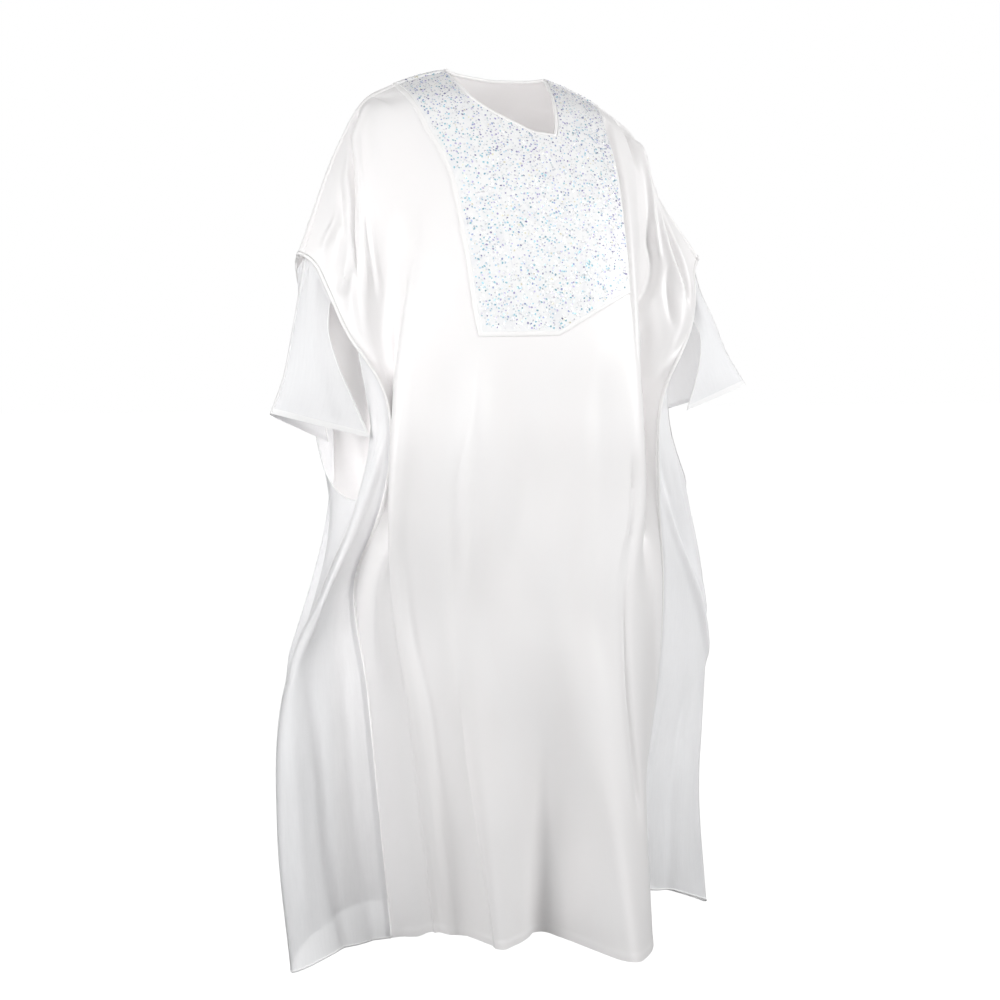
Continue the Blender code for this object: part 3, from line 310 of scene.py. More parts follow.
# ------------------------------------------------------------------ creases
# Creases of the panels: height, width on the wearer's right side of the path and on the
# left side, and the path as column and section. A trough has a negative height. Metres.
FRONT_CREASES = (
    # the right wing: a pleat from the shoulder, and the folds that fan out to the cap's edge
    (-0.0100, 0.0040, 0.0038, ((1.82, 0.05), (1.55, 0.44), (1.36, 0.85), (1.27, 1.70),
                               (1.25, 2.32), (1.19, 2.78), (1.12, 3.20), (1.02, 3.45))),
    (0.0056, 0.0070, 0.0050, ((2.18, 0.20), (1.82, 0.69), (1.53, 1.06), (1.40, 2.24),
                              (1.36, 2.90), (1.25, 3.38), (1.10, 3.70))),
    (0.0044, 0.0050, 0.0060, ((1.60, 0.50), (1.32, 1.10), (1.16, 1.60), (1.10, 2.20),
                              (1.06, 2.80))),
    (-0.0032, 0.0080, 0.0140, ((1.66, 0.90), (1.57, 1.50), (1.60, 2.10), (1.78, 2.60))),
    (0.0024, 0.0050, 0.0050, ((1.54, 2.30), (1.62, 2.93), (1.62, 3.29), (1.60, 3.80))),
    (-0.0022, 0.0050, 0.0040, ((1.46, 2.50), (1.49, 3.04), (1.50, 3.31), (1.43, 3.80))),
    (0.0030, 0.0060, 0.0050, ((1.17, 1.10), (1.00, 1.80), (0.96, 2.40), (0.99, 2.95))),
    (-0.0050, 0.0060, 0.0060, ((0.98, 1.30), (0.88, 1.97), (0.84, 2.50), (0.86, 2.90))),
    (0.0060, 0.0060, 0.0060, ((0.84, 2.10), (0.62, 2.20), (0.34, 2.05), (0.10, 1.95))),
    (-0.0070, 0.0140, 0.0140, ((0.84, 2.40), (0.60, 2.62), (0.34, 2.76), (0.10, 2.85))),
    (0.0070, 0.0055, 0.0055, ((1.02, 2.85), (0.78, 3.22), (0.46, 3.37), (0.12, 3.37))),
    (-0.0050, 0.0090, 0.0080, ((0.99, 3.15), (0.76, 3.42), (0.50, 3.70), (0.22, 4.05))),
    (0.0040, 0.0090, 0.0100, ((1.14, 3.30), (1.03, 3.71), (0.82, 4.06), (0.62, 4.60),
                              (0.50, 5.10))),
    (-0.0034, 0.0090, 0.0080, ((2.05, 3.35), (1.75, 3.70), (1.48, 4.00), (1.25, 4.50))),
    (0.0030, 0.0070, 0.0070, ((2.02, 3.60), (1.82, 3.94), (1.62, 4.25), (1.40, 4.80))),
    (-0.0060, 0.0090, 0.0060, ((2.76, 3.30), (2.66, 3.66), (2.50, 4.00), (2.36, 4.30))),
    (0.0150, 0.0200, 0.0200, ((2.05, 3.90), (1.95, 4.40), (1.85, 4.90), (1.80, 5.40),
                              (1.80, 5.90))),
    (0.0080, 0.0160, 0.0260, ((2.84, 3.90), (2.86, 4.40), (2.87, 4.90), (2.88, 5.40),
                              (2.90, 6.00))),
    (0.0040, 0.0060, 0.0200, ((3.02, 2.60), (3.00, 3.30), (2.99, 4.10), (2.99, 5.00),
                              (2.99, 5.90), (2.99, 6.60))),
    (-0.0036, 0.0240, 0.0240, ((3.04, 0.25), (2.86, 0.50), (2.64, 0.62), (2.42, 0.66))),
    # the crisp edge between the side strip and the middle
    (0.0044, 0.0040, 0.0030, ((3.00, 6.20), (3.00, 7.00), (3.00, 8.00), (3.00, 9.00),
                              (3.00, 10.0))),
    (-0.0200, 0.0120, 0.0560, ((3.07, 5.20), (3.07, 7.00), (3.09, 8.00), (3.09, 9.00),
                               (3.09, 10.0))),
    # soft falls in the middle
    (-0.0085, 0.0200, 0.0170, ((3.21, 4.00), (3.20, 5.03), (3.22, 5.69), (3.24, 6.49),
                               (3.23, 7.44), (3.19, 8.30), (3.16, 10.0))),
    (0.0060, 0.0110, 0.0200, ((3.29, 4.10), (3.28, 5.14), (3.30, 6.13), (3.32, 7.20))),
    (-0.0040, 0.0160, 0.0140, ((3.57, 7.90), (3.55, 8.70), (3.55, 9.40), (3.55, 10.0))),
    (-0.0040, 0.0260, 0.0200, ((3.44, 4.60), (3.50, 5.60), (3.47, 6.60), (3.52, 7.40))),
    (0.0040, 0.0240, 0.0260, ((3.66, 5.40), (3.62, 6.60), (3.68, 7.80), (3.66, 9.00))),
    (-0.0044, 0.0180, 0.0160, ((3.83, 4.30), (3.80, 5.50), (3.82, 6.80), (3.86, 8.20))),
    # the left wing
    (-0.0150, 0.0045, 0.0085, ((3.945, 0.70), (3.945, 1.50), (3.965, 2.10), (3.975, 2.70),
                               (3.985, 3.43), (4.02, 4.10), (4.10, 4.80))),
    (0.0040, 0.0050, 0.0040, ((3.91, 1.30), (3.925, 2.10), (3.94, 2.80), (3.955, 3.60))),
    (-0.0170, 0.0100, 0.0080, ((4.27, 0.00), (4.50, 0.40), (4.60, 0.95), (4.72, 1.40),
                               (4.80, 1.90))),
    (0.0080, 0.0060, 0.0050, ((4.92, 0.30), (4.98, 0.90), (5.12, 1.36), (5.22, 1.84),
                              (5.26, 2.30), (5.32, 2.80), (5.43, 3.20))),
    (-0.0030, 0.0160, 0.0120, ((4.44, 1.20), (4.60, 1.80), (4.67, 2.40), (4.66, 3.00))),
    (-0.0120, 0.0100, 0.0090, ((5.09, 2.20), (5.17, 2.70), (5.27, 3.10), (5.22, 3.45),
                               (4.98, 3.75), (4.74, 4.10), (4.50, 4.60))),
    (-0.0130, 0.0040, 0.0075, ((5.86, 0.80), (5.74, 1.60), (5.68, 2.30), (5.72, 2.85),
                               (5.88, 3.20), (6.18, 3.45), (6.55, 3.60))),
    (0.0060, 0.0070, 0.0034, ((5.66, 1.50), (5.60, 2.30), (5.64, 2.85), (5.80, 3.22),
                              (6.05, 3.50))),
    (-0.0070, 0.0080, 0.0080, ((5.62, 3.00), (5.56, 3.35), (5.72, 3.80), (6.10, 4.20))),
    (0.0046, 0.0120, 0.0120, ((5.10, 3.50), (5.30, 3.80), (5.50, 4.20), (5.70, 4.70))),
    (0.0040, 0.0050, 0.0060, ((4.20, 3.90), (4.40, 4.40), (4.60, 4.90), (4.62, 5.60),
                              (4.70, 6.20))),
    (-0.0070, 0.0050, 0.0090, ((3.93, 5.40), (3.935, 6.20), (3.94, 7.00), (3.945, 7.60),
                               (3.95, 8.39), (3.955, 9.00))),
)
BACK_CREASES = (
    # the wings: a pleat from each shoulder and the folds round the caps
    (-0.0080, 0.0050, 0.0070, ((1.64, 0.30), (1.38, 1.10), (1.24, 2.10), (1.06, 3.20))),
    (0.0050, 0.0070, 0.0050, ((1.92, 0.40), (1.62, 1.20), (1.46, 2.30), (1.28, 3.40))),
    (0.0044, 0.0060, 0.0080, ((0.92, 2.05), (0.55, 2.15), (0.12, 1.98))),
    (-0.0050, 0.0120, 0.0130, ((0.90, 2.50), (0.52, 2.74), (0.12, 2.84))),
    (0.0050, 0.0080, 0.0090, ((1.10, 3.20), (0.86, 3.90), (0.56, 4.80))),
    (-0.0070, 0.0070, 0.0060, ((5.34, 0.40), (5.60, 1.20), (5.72, 2.20), (5.98, 3.10))),
    (0.0050, 0.0060, 0.0080, ((5.06, 0.50), (5.34, 1.40), (5.50, 2.40), (5.66, 3.40))),
    (0.0040, 0.0080, 0.0070, ((6.10, 1.90), (6.50, 2.10), (6.88, 2.05))),
    (-0.0060, 0.0130, 0.0110, ((6.06, 2.60), (6.44, 2.86), (6.86, 2.98))),
    (-0.0060, 0.0110, 0.0090, ((2.30, 2.60), (2.10, 3.60), (2.04, 4.80), (2.10, 6.00))),
    (-0.0050, 0.0090, 0.0120, ((4.72, 2.80), (4.92, 3.80), (4.98, 5.00), (4.90, 6.30))),
    # soft falls below the shoulder blades
    (-0.0060, 0.0140, 0.0110, ((3.20, 2.90), (3.23, 4.90), (3.18, 7.20), (3.12, 9.80))),
    (0.0040, 0.0200, 0.0230, ((3.42, 2.40), (3.47, 4.60), (3.44, 7.00), (3.50, 9.60))),
    (-0.0050, 0.0160, 0.0130, ((3.74, 3.80), (3.71, 6.00), (3.77, 8.10), (3.75, 10.0))),
    (0.0036, 0.0120, 0.0160, ((2.62, 4.20), (2.52, 6.40), (2.56, 9.20))),
    (-0.0036, 0.0150, 0.0120, ((4.44, 4.60), (4.56, 6.80), (4.50, 9.40))),
)
GORE_CREASES = (
    (-0.0060, 0.0090, 0.0070, ((0.03, 0.10), (0.30, 0.20), (0.60, 0.29), (0.94, 0.36))),
    (0.0070, 0.0080, 0.0100, ((0.05, 0.17), (0.33, 0.27), (0.62, 0.36), (0.94, 0.45))),
    (0.0044, 0.0100, 0.0090, ((0.30, 0.01), (0.42, 0.10), (0.56, 0.21))),
    (-0.0060, 0.0140, 0.0120, ((0.48, 0.46), (0.42, 0.62), (0.43, 0.80), (0.40, 1.00))),
    (0.0056, 0.0140, 0.0160, ((0.72, 0.50), (0.68, 0.68), (0.71, 0.92))),
    (-0.0036, 0.0100, 0.0110, ((0.16, 0.52), (0.21, 0.74), (0.18, 1.00))),
)


# ------------------------------------------------------------------ curves, on whole arrays
def smoothstep(share):
    share = np.clip(share, 0.0, 1.0)
    return share * share * (3.0 - 2.0 * share)


def unit(vectors):
    """Vectors of length 1 in the same directions."""
    length = np.linalg.norm(vectors, axis=-1, keepdims=True)
    return vectors / np.maximum(length, 1e-12)


def lerp(low, high, share):
    share = np.asarray(share)[..., None]
    return low + (high - low) * share


def spline(rows, position):
    """Centripetal Catmull-Rom curve through rows of vectors, at positions in rows."""
    rows = np.asarray(rows, float)
    last = len(rows) - 1
    position = np.clip(np.asarray(position, float), 0.0, float(last))
    index = np.minimum(position.astype(int), last - 1)
    part = (position - index)[..., None]

    def row(which):
        which = np.clip(which, 0, last)
        if rows.ndim == 2:
            return rows[which]
        return np.take_along_axis(rows, which[None, ..., None], 0)[0]

    start = row(index)
    end = row(index + 1)
    before = np.where((index > 0)[..., None], row(index - 1), start * 2.0 - end)
    after = np.where((index + 2 <= last)[..., None], row(index + 2), end * 2.0 - start)

    def root(vector):
        return np.sqrt(np.maximum(np.linalg.norm(vector, axis=-1, keepdims=True), 1e-4))

    back_span = root(start - before)
    span = root(end - start)
    next_span = root(after - end)
    leave = (start - before) / back_span - (end - before) / (back_span + span)
    leave = (leave + (end - start) / span) * span
    arrive = (end - start) / span - (after - start) / (span + next_span)
    arrive = (arrive + (after - end) / next_span) * span
    square = part * part
    cube = square * part
    return (start * (2.0 * cube - 3.0 * square + 1.0) + leave * (cube - 2.0 * square + part)
            + end * (3.0 * square - 2.0 * cube) + arrive * (cube - square))


def lengths_along(path):
    """Distance along a path at each of its points."""
    return np.concatenate([[0.0], np.linalg.norm(np.diff(path, axis=0), axis=1).cumsum()])


def table_value(table, key, column=1):
    return np.interp(key, [row[0] for row in table], [row[column] for row in table])


def table_point(table, key):
    position = np.interp(key, [row[0] for row in table], range(len(table)))
    return spline([row[1:] for row in table], position)


def interpolated(places, known, values):
    """Rows of values at places between the known ones."""
    return np.stack([np.interp(places, known, column) for column in values.T], axis=-1)


def between(grid, level, column):
    """A grid's values at fractions of its rows and columns."""
    top = np.minimum(level.astype(int), grid.shape[0] - 2)
    left = np.minimum(column.astype(int), grid.shape[1] - 2)
    part = (column - left)[..., None]
    rest = (level - top)[..., None]
    upper = grid[top, left] * (1 - part) + grid[top, left + 1] * part
    lower = grid[top + 1, left] * (1 - part) + grid[top + 1, left + 1] * part
    return upper * (1 - rest) + lower * rest


def listed(values, section):
    """Smooth value from a list with one entry per section."""
    values = np.asarray(values)
    index = np.minimum(np.asarray(section).astype(int), len(values) - 2)
    return values[index] + (values[index + 1] - values[index]) * smoothstep(section - index)


def rounded_value(table, key):
    """A table's curve without overshoot: its slopes are harmonic means."""
    keys = np.array([row[0] for row in table])
    values = np.array([row[1] for row in table])
    slopes = np.diff(values) / np.diff(keys)
    tangents = np.zeros(len(keys))
    same = slopes[1:] * slopes[:-1] > 0.0
    product = 2.0 * slopes[1:] * slopes[:-1]
    total = np.where(same, slopes[1:] + slopes[:-1], 1.0)
    tangents[1:-1] = np.where(same, product / total, 0.0)
    tangents[0] = slopes[0]
    tangents[-1] = slopes[-1]
    key = np.clip(key, keys[0], keys[-1])
    index = np.clip(np.searchsorted(keys, key, side="right") - 1, 0, len(keys) - 2)
    step = keys[index + 1] - keys[index]
    part = (key - keys[index]) / step
    return (values[index] * (1 + 2 * part) * (1 - part) ** 2
            + tangents[index] * step * part * (1 - part) ** 2
            + values[index + 1] * part ** 2 * (3 - 2 * part)
            + tangents[index + 1] * step * part ** 2 * (part - 1))


def hem_growth(section):
    """How much of a hem's rise is there at a section."""
    share = (section - HEM_RISE_SECTION) / (LAST_SECTION - HEM_RISE_SECTION)
    return np.maximum(0.0, share) ** 2


# ------------------------------------------------------------------ panels
# Columns run from 0 at the wearer's right edge over the two fold lines to the left edge,
# with one column for the whole middle.
WING_COLUMNS = 3.0
LAST_COLUMN = WING_COLUMNS * 2.0 + 1.0
MIDDLE_CONTROLS = (0.0, 0.2, 0.4, 0.6, 0.8, 1.0)
MIDDLE_SPANS = len(MIDDLE_CONTROLS) - 1
LAST_BIB_LINE = len(BIB_LINES) - 1
# Mesh lines are numbered as in the solid: 0 at the wearer's right edge, then the fold line,
# the band's outer edge and the bib's edge, and the same back from the left edge.
LINES_A_COLUMN = 3.0
FOLD_LINE = WING_COLUMNS * LINES_A_COLUMN
BAND_LINE = 11.0
FIRST_BIB = 12.0
LAST_BIB = FIRST_BIB + LAST_BIB_LINE
LAST_LINE = LAST_BIB + FIRST_BIB


def fold_arrays(table):
    """A table of fold lines as arrays."""
    return {name: np.array(rows, float) for name, rows in table.items()}


def back_arrays(front, side):
    """The back's fold lines on one side, which share the front's shoulder seam."""
    lines = {}
    for name, rows in BACK_FOLDS.items():
        below = np.array(rows, float) * (side, 1.0, 1.0)
        lines[name] = np.vstack([front[name][:1], below])
    return lines


class Panel:
    """A satin panel: wings outside two fold lines, and a plain middle between them."""

    def __init__(self, right, left, bulge, rise, waves, hem, neck, facing, upper_rows):
        self.right = right
        self.left = left
        self.bulge = bulge
        self.rise = rise
        self.waves = waves
        self.hem = hem
        self.neck = neck
        self.facing = facing
        self.upper_rows = upper_rows

    def middle(self, place, section):
        """The middle between the fold lines: bulged, risen to the neck, and waved."""
        right_fold = spline(self.right["fold"], section)
        left_fold = spline(self.left["fold"], section)
        point = lerp(right_fold, left_fold, place)
        crown = 4.0 * place * (1.0 - place)
        flat_crown = 1.0 - (2.0 * place - 1.0) ** 4
        point[..., 1] += self.facing * listed(self.bulge, section) * flat_crown
        point[..., 2] += listed(self.rise, section) * crown
        point[..., 2] += table_value(self.hem, place) * hem_growth(section)
        for centre, half_width, first_section, depth in self.waves:
            reach = np.abs(place - centre) / half_width
            growth = np.maximum(0.0, (section - first_section) / (LAST_SECTION - first_section))
            shape = np.where(reach < 1.0, 0.5 + 0.5 * np.cos(math.pi * reach), 0.0)
            point[..., 1] += self.facing * depth * growth ** WAVE_GROWTH * shape
        return point

    def point(self, column, section):
        """Points of the two wings and the middle at arrays of columns and sections."""
        flat = np.zeros_like(section)
        controls = [spline(self.right[name], section) for name in ("edge", "wing", "valley")]
        controls += [self.middle(flat + place, section) for place in MIDDLE_CONTROLS]
        controls += [spline(self.left[name], section) for name in ("valley", "wing", "edge")]
        place = np.clip(column - WING_COLUMNS, 0.0, 1.0)
        position = np.where(column <= WING_COLUMNS, column, WING_COLUMNS + place * MIDDLE_SPANS)
        position = np.where(column >= WING_COLUMNS + 1.0, column + (MIDDLE_SPANS - 1), position)
        rounded = spline(np.array(controls), position)
        from_fold = np.minimum(place, 1.0 - place) / MIDDLE_CONTROLS[1]
        return lerp(rounded, self.middle(place, section), smoothstep(from_fold))

    def share(self, line):
        """Share across the bib of a mesh line."""
        return np.interp(line - FIRST_BIB, range(LAST_BIB_LINE + 1), BIB_LINES)

    def column(self, line, section):
        """A mesh line's column in the panel, which follows the bib's edges."""
        left = table_value(BIB_SIDES, section, 1)
        right = table_value(BIB_SIDES, section, 2)
        beside = BAND_LINE - FOLD_LINE
        return np.select(
            [line <= FOLD_LINE, line < BAND_LINE, line < FIRST_BIB, line <= LAST_BIB,
             line < LAST_LINE - BAND_LINE, line < LAST_LINE - FOLD_LINE],
            [line / LINES_A_COLUMN,
             WING_COLUMNS + (left - BAND_PLACE) * (line - FOLD_LINE) / beside,
             WING_COLUMNS + left - BAND_PLACE * (FIRST_BIB - line),
             WING_COLUMNS + left + (right - left) * self.share(line),
             WING_COLUMNS + right + BAND_PLACE * (line - LAST_BIB),
             WING_COLUMNS + 1.0
             - (1.0 - right - BAND_PLACE) * (LAST_LINE - FOLD_LINE - line) / beside],
            LAST_COLUMN - (LAST_LINE - line) / LINES_A_COLUMN)

    def section(self, line, row):
        """The section at a row, which follows the neck and the bib's foot."""
        place = self.share(line)
        top = rounded_value(self.neck, place)
        foot = table_value(BIB_FOOT, place)
        upper = self.upper_rows
        share = row / upper
        share = share * (1.0 - ROW_CROWDING * (1.0 - share))
        under = foot + BAND_SECTIONS
        lower = (row - upper - FOOT_ROWS) / LOWER_ROWS
        return np.select(
            [row <= upper, row < upper + 1.0, row < upper + FOOT_ROWS],
            [top + (foot - top) * share,
             foot + BAND_SECTIONS * (row - upper),
             under + (ARMHOLE_SECTION - under) * (row - upper - 1.0) / (FOOT_ROWS - 1.0)],
            ARMHOLE_SECTION + (LAST_SECTION - ARMHOLE_SECTION) * lower)

    def surface(self, line, row):
        """Points at arrays of mesh lines and rows, with the seam's gap at the shoulder."""
        section = self.section(line, row)
        points = self.point(self.column(line, section), section)
        seam = (row <= 0.0) & (section <= 0.0)
        points[..., 1] += np.where(seam, self.facing * SEAM_GAP * 0.5, 0.0)
        return points


def spaced(first, last, step):
    """Places between two whole numbers, without the last."""
    return [first + index / step for index in range(int(round((last - first) * step)))]


def fine_lines():
    """The scene's mesh lines, between and on the solid's."""
    steps = int(WING_COLUMNS) * WING_STEPS
    wing = [FOLD_LINE * index / steps for index in range(steps)]
    inner = spaced(FIRST_BIB, LAST_BIB, BIB_STEP)
    right = wing + list(PLACES_BESIDE_BIB[:-1])
    left = [LAST_LINE - place for place in reversed([*right, FIRST_BIB])]
    return np.array(right + inner + left)


def fine_rows(upper):
    """The scene's rows, between and on the solid's."""
    level = upper + FOOT_ROWS
    near_hem = level + LOWER_ROWS - 1.0
    rows = list(TOP_ROWS[:-1])
    rows += spaced(1.0, level, UPPER_STEP)
    rows += spaced(level, near_hem, LOWER_STEP)
    rows += [near_hem + part for part in (0.0, *HEM_ROWS)]
    return np.array(rows)


def to_path(places, path):
    """The nearest place on a path, in steps along it, and the distance to it."""
    gaps = np.linalg.norm(places[:, None, :] - path[None], axis=2)
    nearest = gaps.argmin(axis=1)
    tangents = np.gradient(path, axis=0)[nearest]
    length = np.linalg.norm(tangents, axis=1)
    offset = places - path[nearest]
    along = np.clip((offset * tangents).sum(axis=1) / length ** 2, -0.5, 0.5)
    distance = np.linalg.norm(offset - tangents * along[:, None], axis=1)
    return np.clip(nearest + along, 0.0, len(path) - 1.0), distance


def crease_fade(centre, share, near, far, open_end):
    """How a crease comes and goes along its path: the wider, the slower."""
    length = np.linalg.norm(np.diff(centre, axis=0), axis=1).sum()
    reach = float(np.clip((near + far) * CREASE_REACH / length, *CREASE_FADE))
    fade = smoothstep(share / reach)
    if not open_end:
        fade = fade * smoothstep((1.0 - share) / reach)
    return fade


def crease_track(path):
    """A crease's path as a smooth run of places, across and down."""
    knots = np.array([(across, down, 0.0) for across, down in path])
    return spline(knots, np.linspace(0.0, len(knots) - 1.0, TRACK_STEPS))


def crease_shape(places, across, track, centre, depth, near, far, open_end):
    """A soft ridge (or trough, below 0) along its centre line, near and far on its sides."""
    nearest, distance = to_path(places, centre)
    middle = np.interp(nearest, range(len(centre)), track[:, 0])
    width = np.where(across < middle, near, far)
    share = nearest / (len(centre) - 1.0)
    fade = crease_fade(centre, share, near, far, open_end)
    return depth * fade * np.exp(-(distance / width) ** 2)


def valley(distance, depth, middle, width):
    """The narrow valley that a sewn line pulls into the cloth."""
    return -depth * np.exp(-((distance - middle) / width) ** 2)


def pressed_layer(distance, height, reach, soft):
    """The low step of a layer turned under the cloth."""
    return height * smoothstep((reach - distance) / soft)


def surface_normals(points, facing):
    """Outward normals of a grid by differences."""
    across = np.gradient(points, axis=1)
    down = np.gradient(points, axis=0)
    return unit(np.cross(across, down) * facing)


class Sheet:
    """A fine grid on a panel, with its creases."""

    def __init__(self, panel, creases):
        self.panel = panel
        self.lines = fine_lines()
        self.rows = fine_rows(panel.upper_rows)
        line, row = np.meshgrid(self.lines, self.rows)
        self.sections = panel.section(line, row)
        self.columns = panel.column(line, self.sections)
        self.plain = panel.surface(line, row)
        self.plain_normals = self.normals_of(self.plain)
        self.height = np.zeros(line.shape)
        for crease in creases:
            self.add_crease(*crease)
        self.add_seam()
        self.add_hem()
        self.points = self.plain + self.plain_normals * self.height[..., None]
        self.normals = self.normals_of(self.points)

    def normals_of(self, points):
        normals = surface_normals(points, self.panel.facing)
        across = np.gradient(points[0], axis=0)
        square = np.array((0.0, self.panel.facing, 0.0))
        top = unit(np.cross(across, square) * self.panel.facing)
        at_seam = (self.sections[0] <= 0.0)[:, None]
        normals[0] = np.where(at_seam, top, normals[0])
        return normals

    def add_crease(self, depth, near, far, path):
        """A crease whose path is given as column and section."""
        track = crease_track(path)
        centre = self.panel.point(track[:, 0], track[:, 1])
        low = track[:, 1].min() - CREASE_SECTIONS
        high = track[:, 1].max() + CREASE_SECTIONS
        used = (self.sections > low) & (self.sections < high)
        self.height[used] += crease_shape(self.plain[used], self.columns[used], track, centre,
                                          depth, near, far, path[-1][1] >= OPEN_SECTION)

    def add_seam(self):
        """The shoulder seam: allowances pressed flat beside a groove, held by a sewn line."""
        first = np.linalg.norm(self.plain - self.plain[:1], axis=2)
        inside = (self.sections[0] <= 0.0)[None, :]
        shape = (valley(first, *SEAM_GROOVE) + pressed_layer(first, *SEAM_LAYER)
                 + valley(first, *SEAM_VALLEY))
        self.height += np.where(inside, shape, 0.0)

    def add_hem(self):
        """The hem is turned up twice: a step and a sewn line above the edge."""
        last = np.linalg.norm(self.plain - self.plain[-1:], axis=2)
        self.height += pressed_layer(last, *HEM_LAYER) + valley(last, *HEM_VALLEY)

    def line_index(self, line):
        return int(np.argmin(np.abs(self.lines - line)))

    def row_index(self, row):
        return int(np.argmin(np.abs(self.rows - row)))

    def edge(self, is_right):
        """Points and normals of a side edge."""
        column = 0 if is_right else -1
        return self.points[:, column], self.normals[:, column]


# ------------------------------------------------------------------ meshes
def linked(name, data, place=(0.0, 0.0, 0.0)):
    """A new object in the scene."""
    thing = bpy.data.objects.new(name, data)
    thing.location = place
    bpy.context.scene.collection.objects.link(thing)
    return thing


def smooth_mesh(name, vertices, faces, material, uv=None, angle=60.0):
    """A smooth-shaded piece of the robe, which stays sharp where faces meet at the angle."""
    mesh = bpy.data.meshes.new(name)
    mesh.from_pydata(np.asarray(vertices).tolist(), [], faces)
    mesh.update()
    mesh.shade_smooth()
    if angle is not None:
        mesh.set_sharp_from_angle(angle=math.radians(angle))
    if uv is not None:
        cloth = mesh.uv_layers.new(name="Cloth")
        index = np.empty(len(mesh.loops), int)
        mesh.loops.foreach_get("vertex_index", index)
        cloth.data.foreach_set("uv", np.asarray(uv)[index].astype(np.float32).ravel())
    thing = linked(name, mesh)
    mesh.materials.append(material)
    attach(thing, "root")
    return thing


def quads(rows, columns, closed=False):
    """Faces of a grid of vertices numbered row by row."""
    index = np.arange(rows * columns).reshape(rows, columns)
    if closed:
        index = np.hstack([index, index[:, :1]])
    return np.stack([index[:-1, :-1], index[:-1, 1:], index[1:, 1:], index[1:, :-1]],
                    axis=-1).reshape(-1, 4)


def cloth_uv(points):
    """Flat coordinates of a grid in metres, by the lengths of its rows and columns."""
    across = np.linalg.norm(np.diff(points, axis=1), axis=2).cumsum(axis=1)
    down = np.linalg.norm(np.diff(points, axis=0), axis=2).cumsum(axis=0)
    width = np.hstack([np.zeros((len(points), 1)), across])
    width -= width.mean(axis=1, keepdims=True)
    length = np.vstack([np.zeros((1, points.shape[1])), down])
    return np.stack([width, length], axis=-1).reshape(-1, 2)


def add_cloth(name, points, normals, low, high, material):
    """A closed thin wall on a grid, from low to high along the normals."""
    rows, columns = points.shape[:2]
    low = np.broadcast_to(low, (rows, columns))[..., None]
    high = np.broadcast_to(high, (rows, columns))[..., None]
    inner = (points + normals * low).reshape(-1, 3)
    outer = (points + normals * high).reshape(-1, 3)
    count = rows * columns
    front = quads(rows, columns)
    if np.cross(points[0, 1] - points[0, 0], points[1, 0] - points[0, 0]).dot(normals[0, 0]) < 0:
        front = front[:, ::-1]
    faces = (front + count).tolist() + front[:, ::-1].tolist()
    index = np.arange(count).reshape(rows, columns)
    border = np.concatenate([index[0], index[1:, -1], index[-1, -2::-1], index[-2:0:-1, 0]])
    following = np.roll(border, -1)
    rim = np.stack([border, following, following + count, border + count], axis=1)
    faces += rim.tolist()
    flat = cloth_uv(points)
    return smooth_mesh(name, np.vstack([inner, outer]), faces, material,
                       uv=np.vstack([flat, flat]))


def add_leaf(name, points, material):
    """A single layer of sheer cloth on a grid."""
    return smooth_mesh(name, points.reshape(-1, 3), quads(*points.shape[:2]).tolist(),
                       material, uv=cloth_uv(points), angle=None)


def add_tube(name, path, sides, normals, width, thick, slot, material, closed=False, ring=10):
    """A rounded flat tube along a path."""
    turn = np.linspace(0.0, 2.0 * math.pi, ring, endpoint=False)
    across = np.cos(turn) * 0.5
    up = np.sin(turn) * 0.5
    up = np.sign(up) * np.abs(up) ** TUBE_FLATNESS
    width = np.broadcast_to(width, len(path))[:, None, None]
    thick = np.broadcast_to(thick, len(path))[:, None, None]
    points = (path[:, None] + sides[:, None] * across[None, :, None] * width
              + normals[:, None] * up[None, :, None] * thick)
    count = len(path)
    faces = quads(count, ring, closed=True).tolist()
    first = np.arange(ring)
    last = (count - 1) * ring + first
    if closed:
        join = [last, np.roll(last, -1), np.roll(first, -1), first]
        faces += np.stack(join, axis=1).tolist()
    else:
        faces += [first[::-1].tolist(), last.tolist()]
    along = lengths_along(path)
    uv = np.stack(np.broadcast_arrays(turn[None, :] * TUBE_RADIUS, along[:, None]), axis=-1)
    return smooth_mesh(name, points.reshape(-1, 3), faces, material,
                       uv=uv.reshape(-1, 2), angle=None)


def mitred(path, normals, closed=False):
    """Sideways vectors along a path, lengthened at corners so that a band keeps its width."""
    steps = unit(np.diff(path, axis=0))
    if closed:
        gap = unit(path[:1] - path[-1:])
        before = np.vstack([gap, steps])
        after = np.vstack([steps, gap])
    else:
        before = np.vstack([steps[:1], steps])
        after = np.vstack([steps, steps[-1:]])
    first = unit(np.cross(before, normals))
    second = unit(np.cross(after, normals))
    side = unit(first + second)
    spread = (side * first).sum(axis=1, keepdims=True)
    return side / np.maximum(MITRE_LIMIT, spread)


def edge_sides(sheet, is_right):
    """Directions out past a side edge, square to it; the first lies along the shoulder seam."""
    points, normals = sheet.edge(is_right)
    sides = mitred(points, normals)
    column = 0 if is_right else -1
    inner = 1 if is_right else -2
    seam = unit(sheet.points[0, column] - sheet.points[0, inner])
    if sides[0].dot(seam) < 0.0:
        sides = -sides
    sides[0] = seam / max(MITRE_LIMIT, seam.dot(sides[0]))
    for row in range(1, SETTLED_ROW):
        sides[row] = sides[0] + (sides[SETTLED_ROW] - sides[0]) * (row / SETTLED_ROW)
    return sides


def piping_centres(sheet, is_right):
    """The middle line of the piping beside a panel's side edge."""
    points, _ = sheet.edge(is_right)
    return points + edge_sides(sheet, is_right) * (SEAM_GAP + EDGE_BINDING_WIDTH * 0.5)


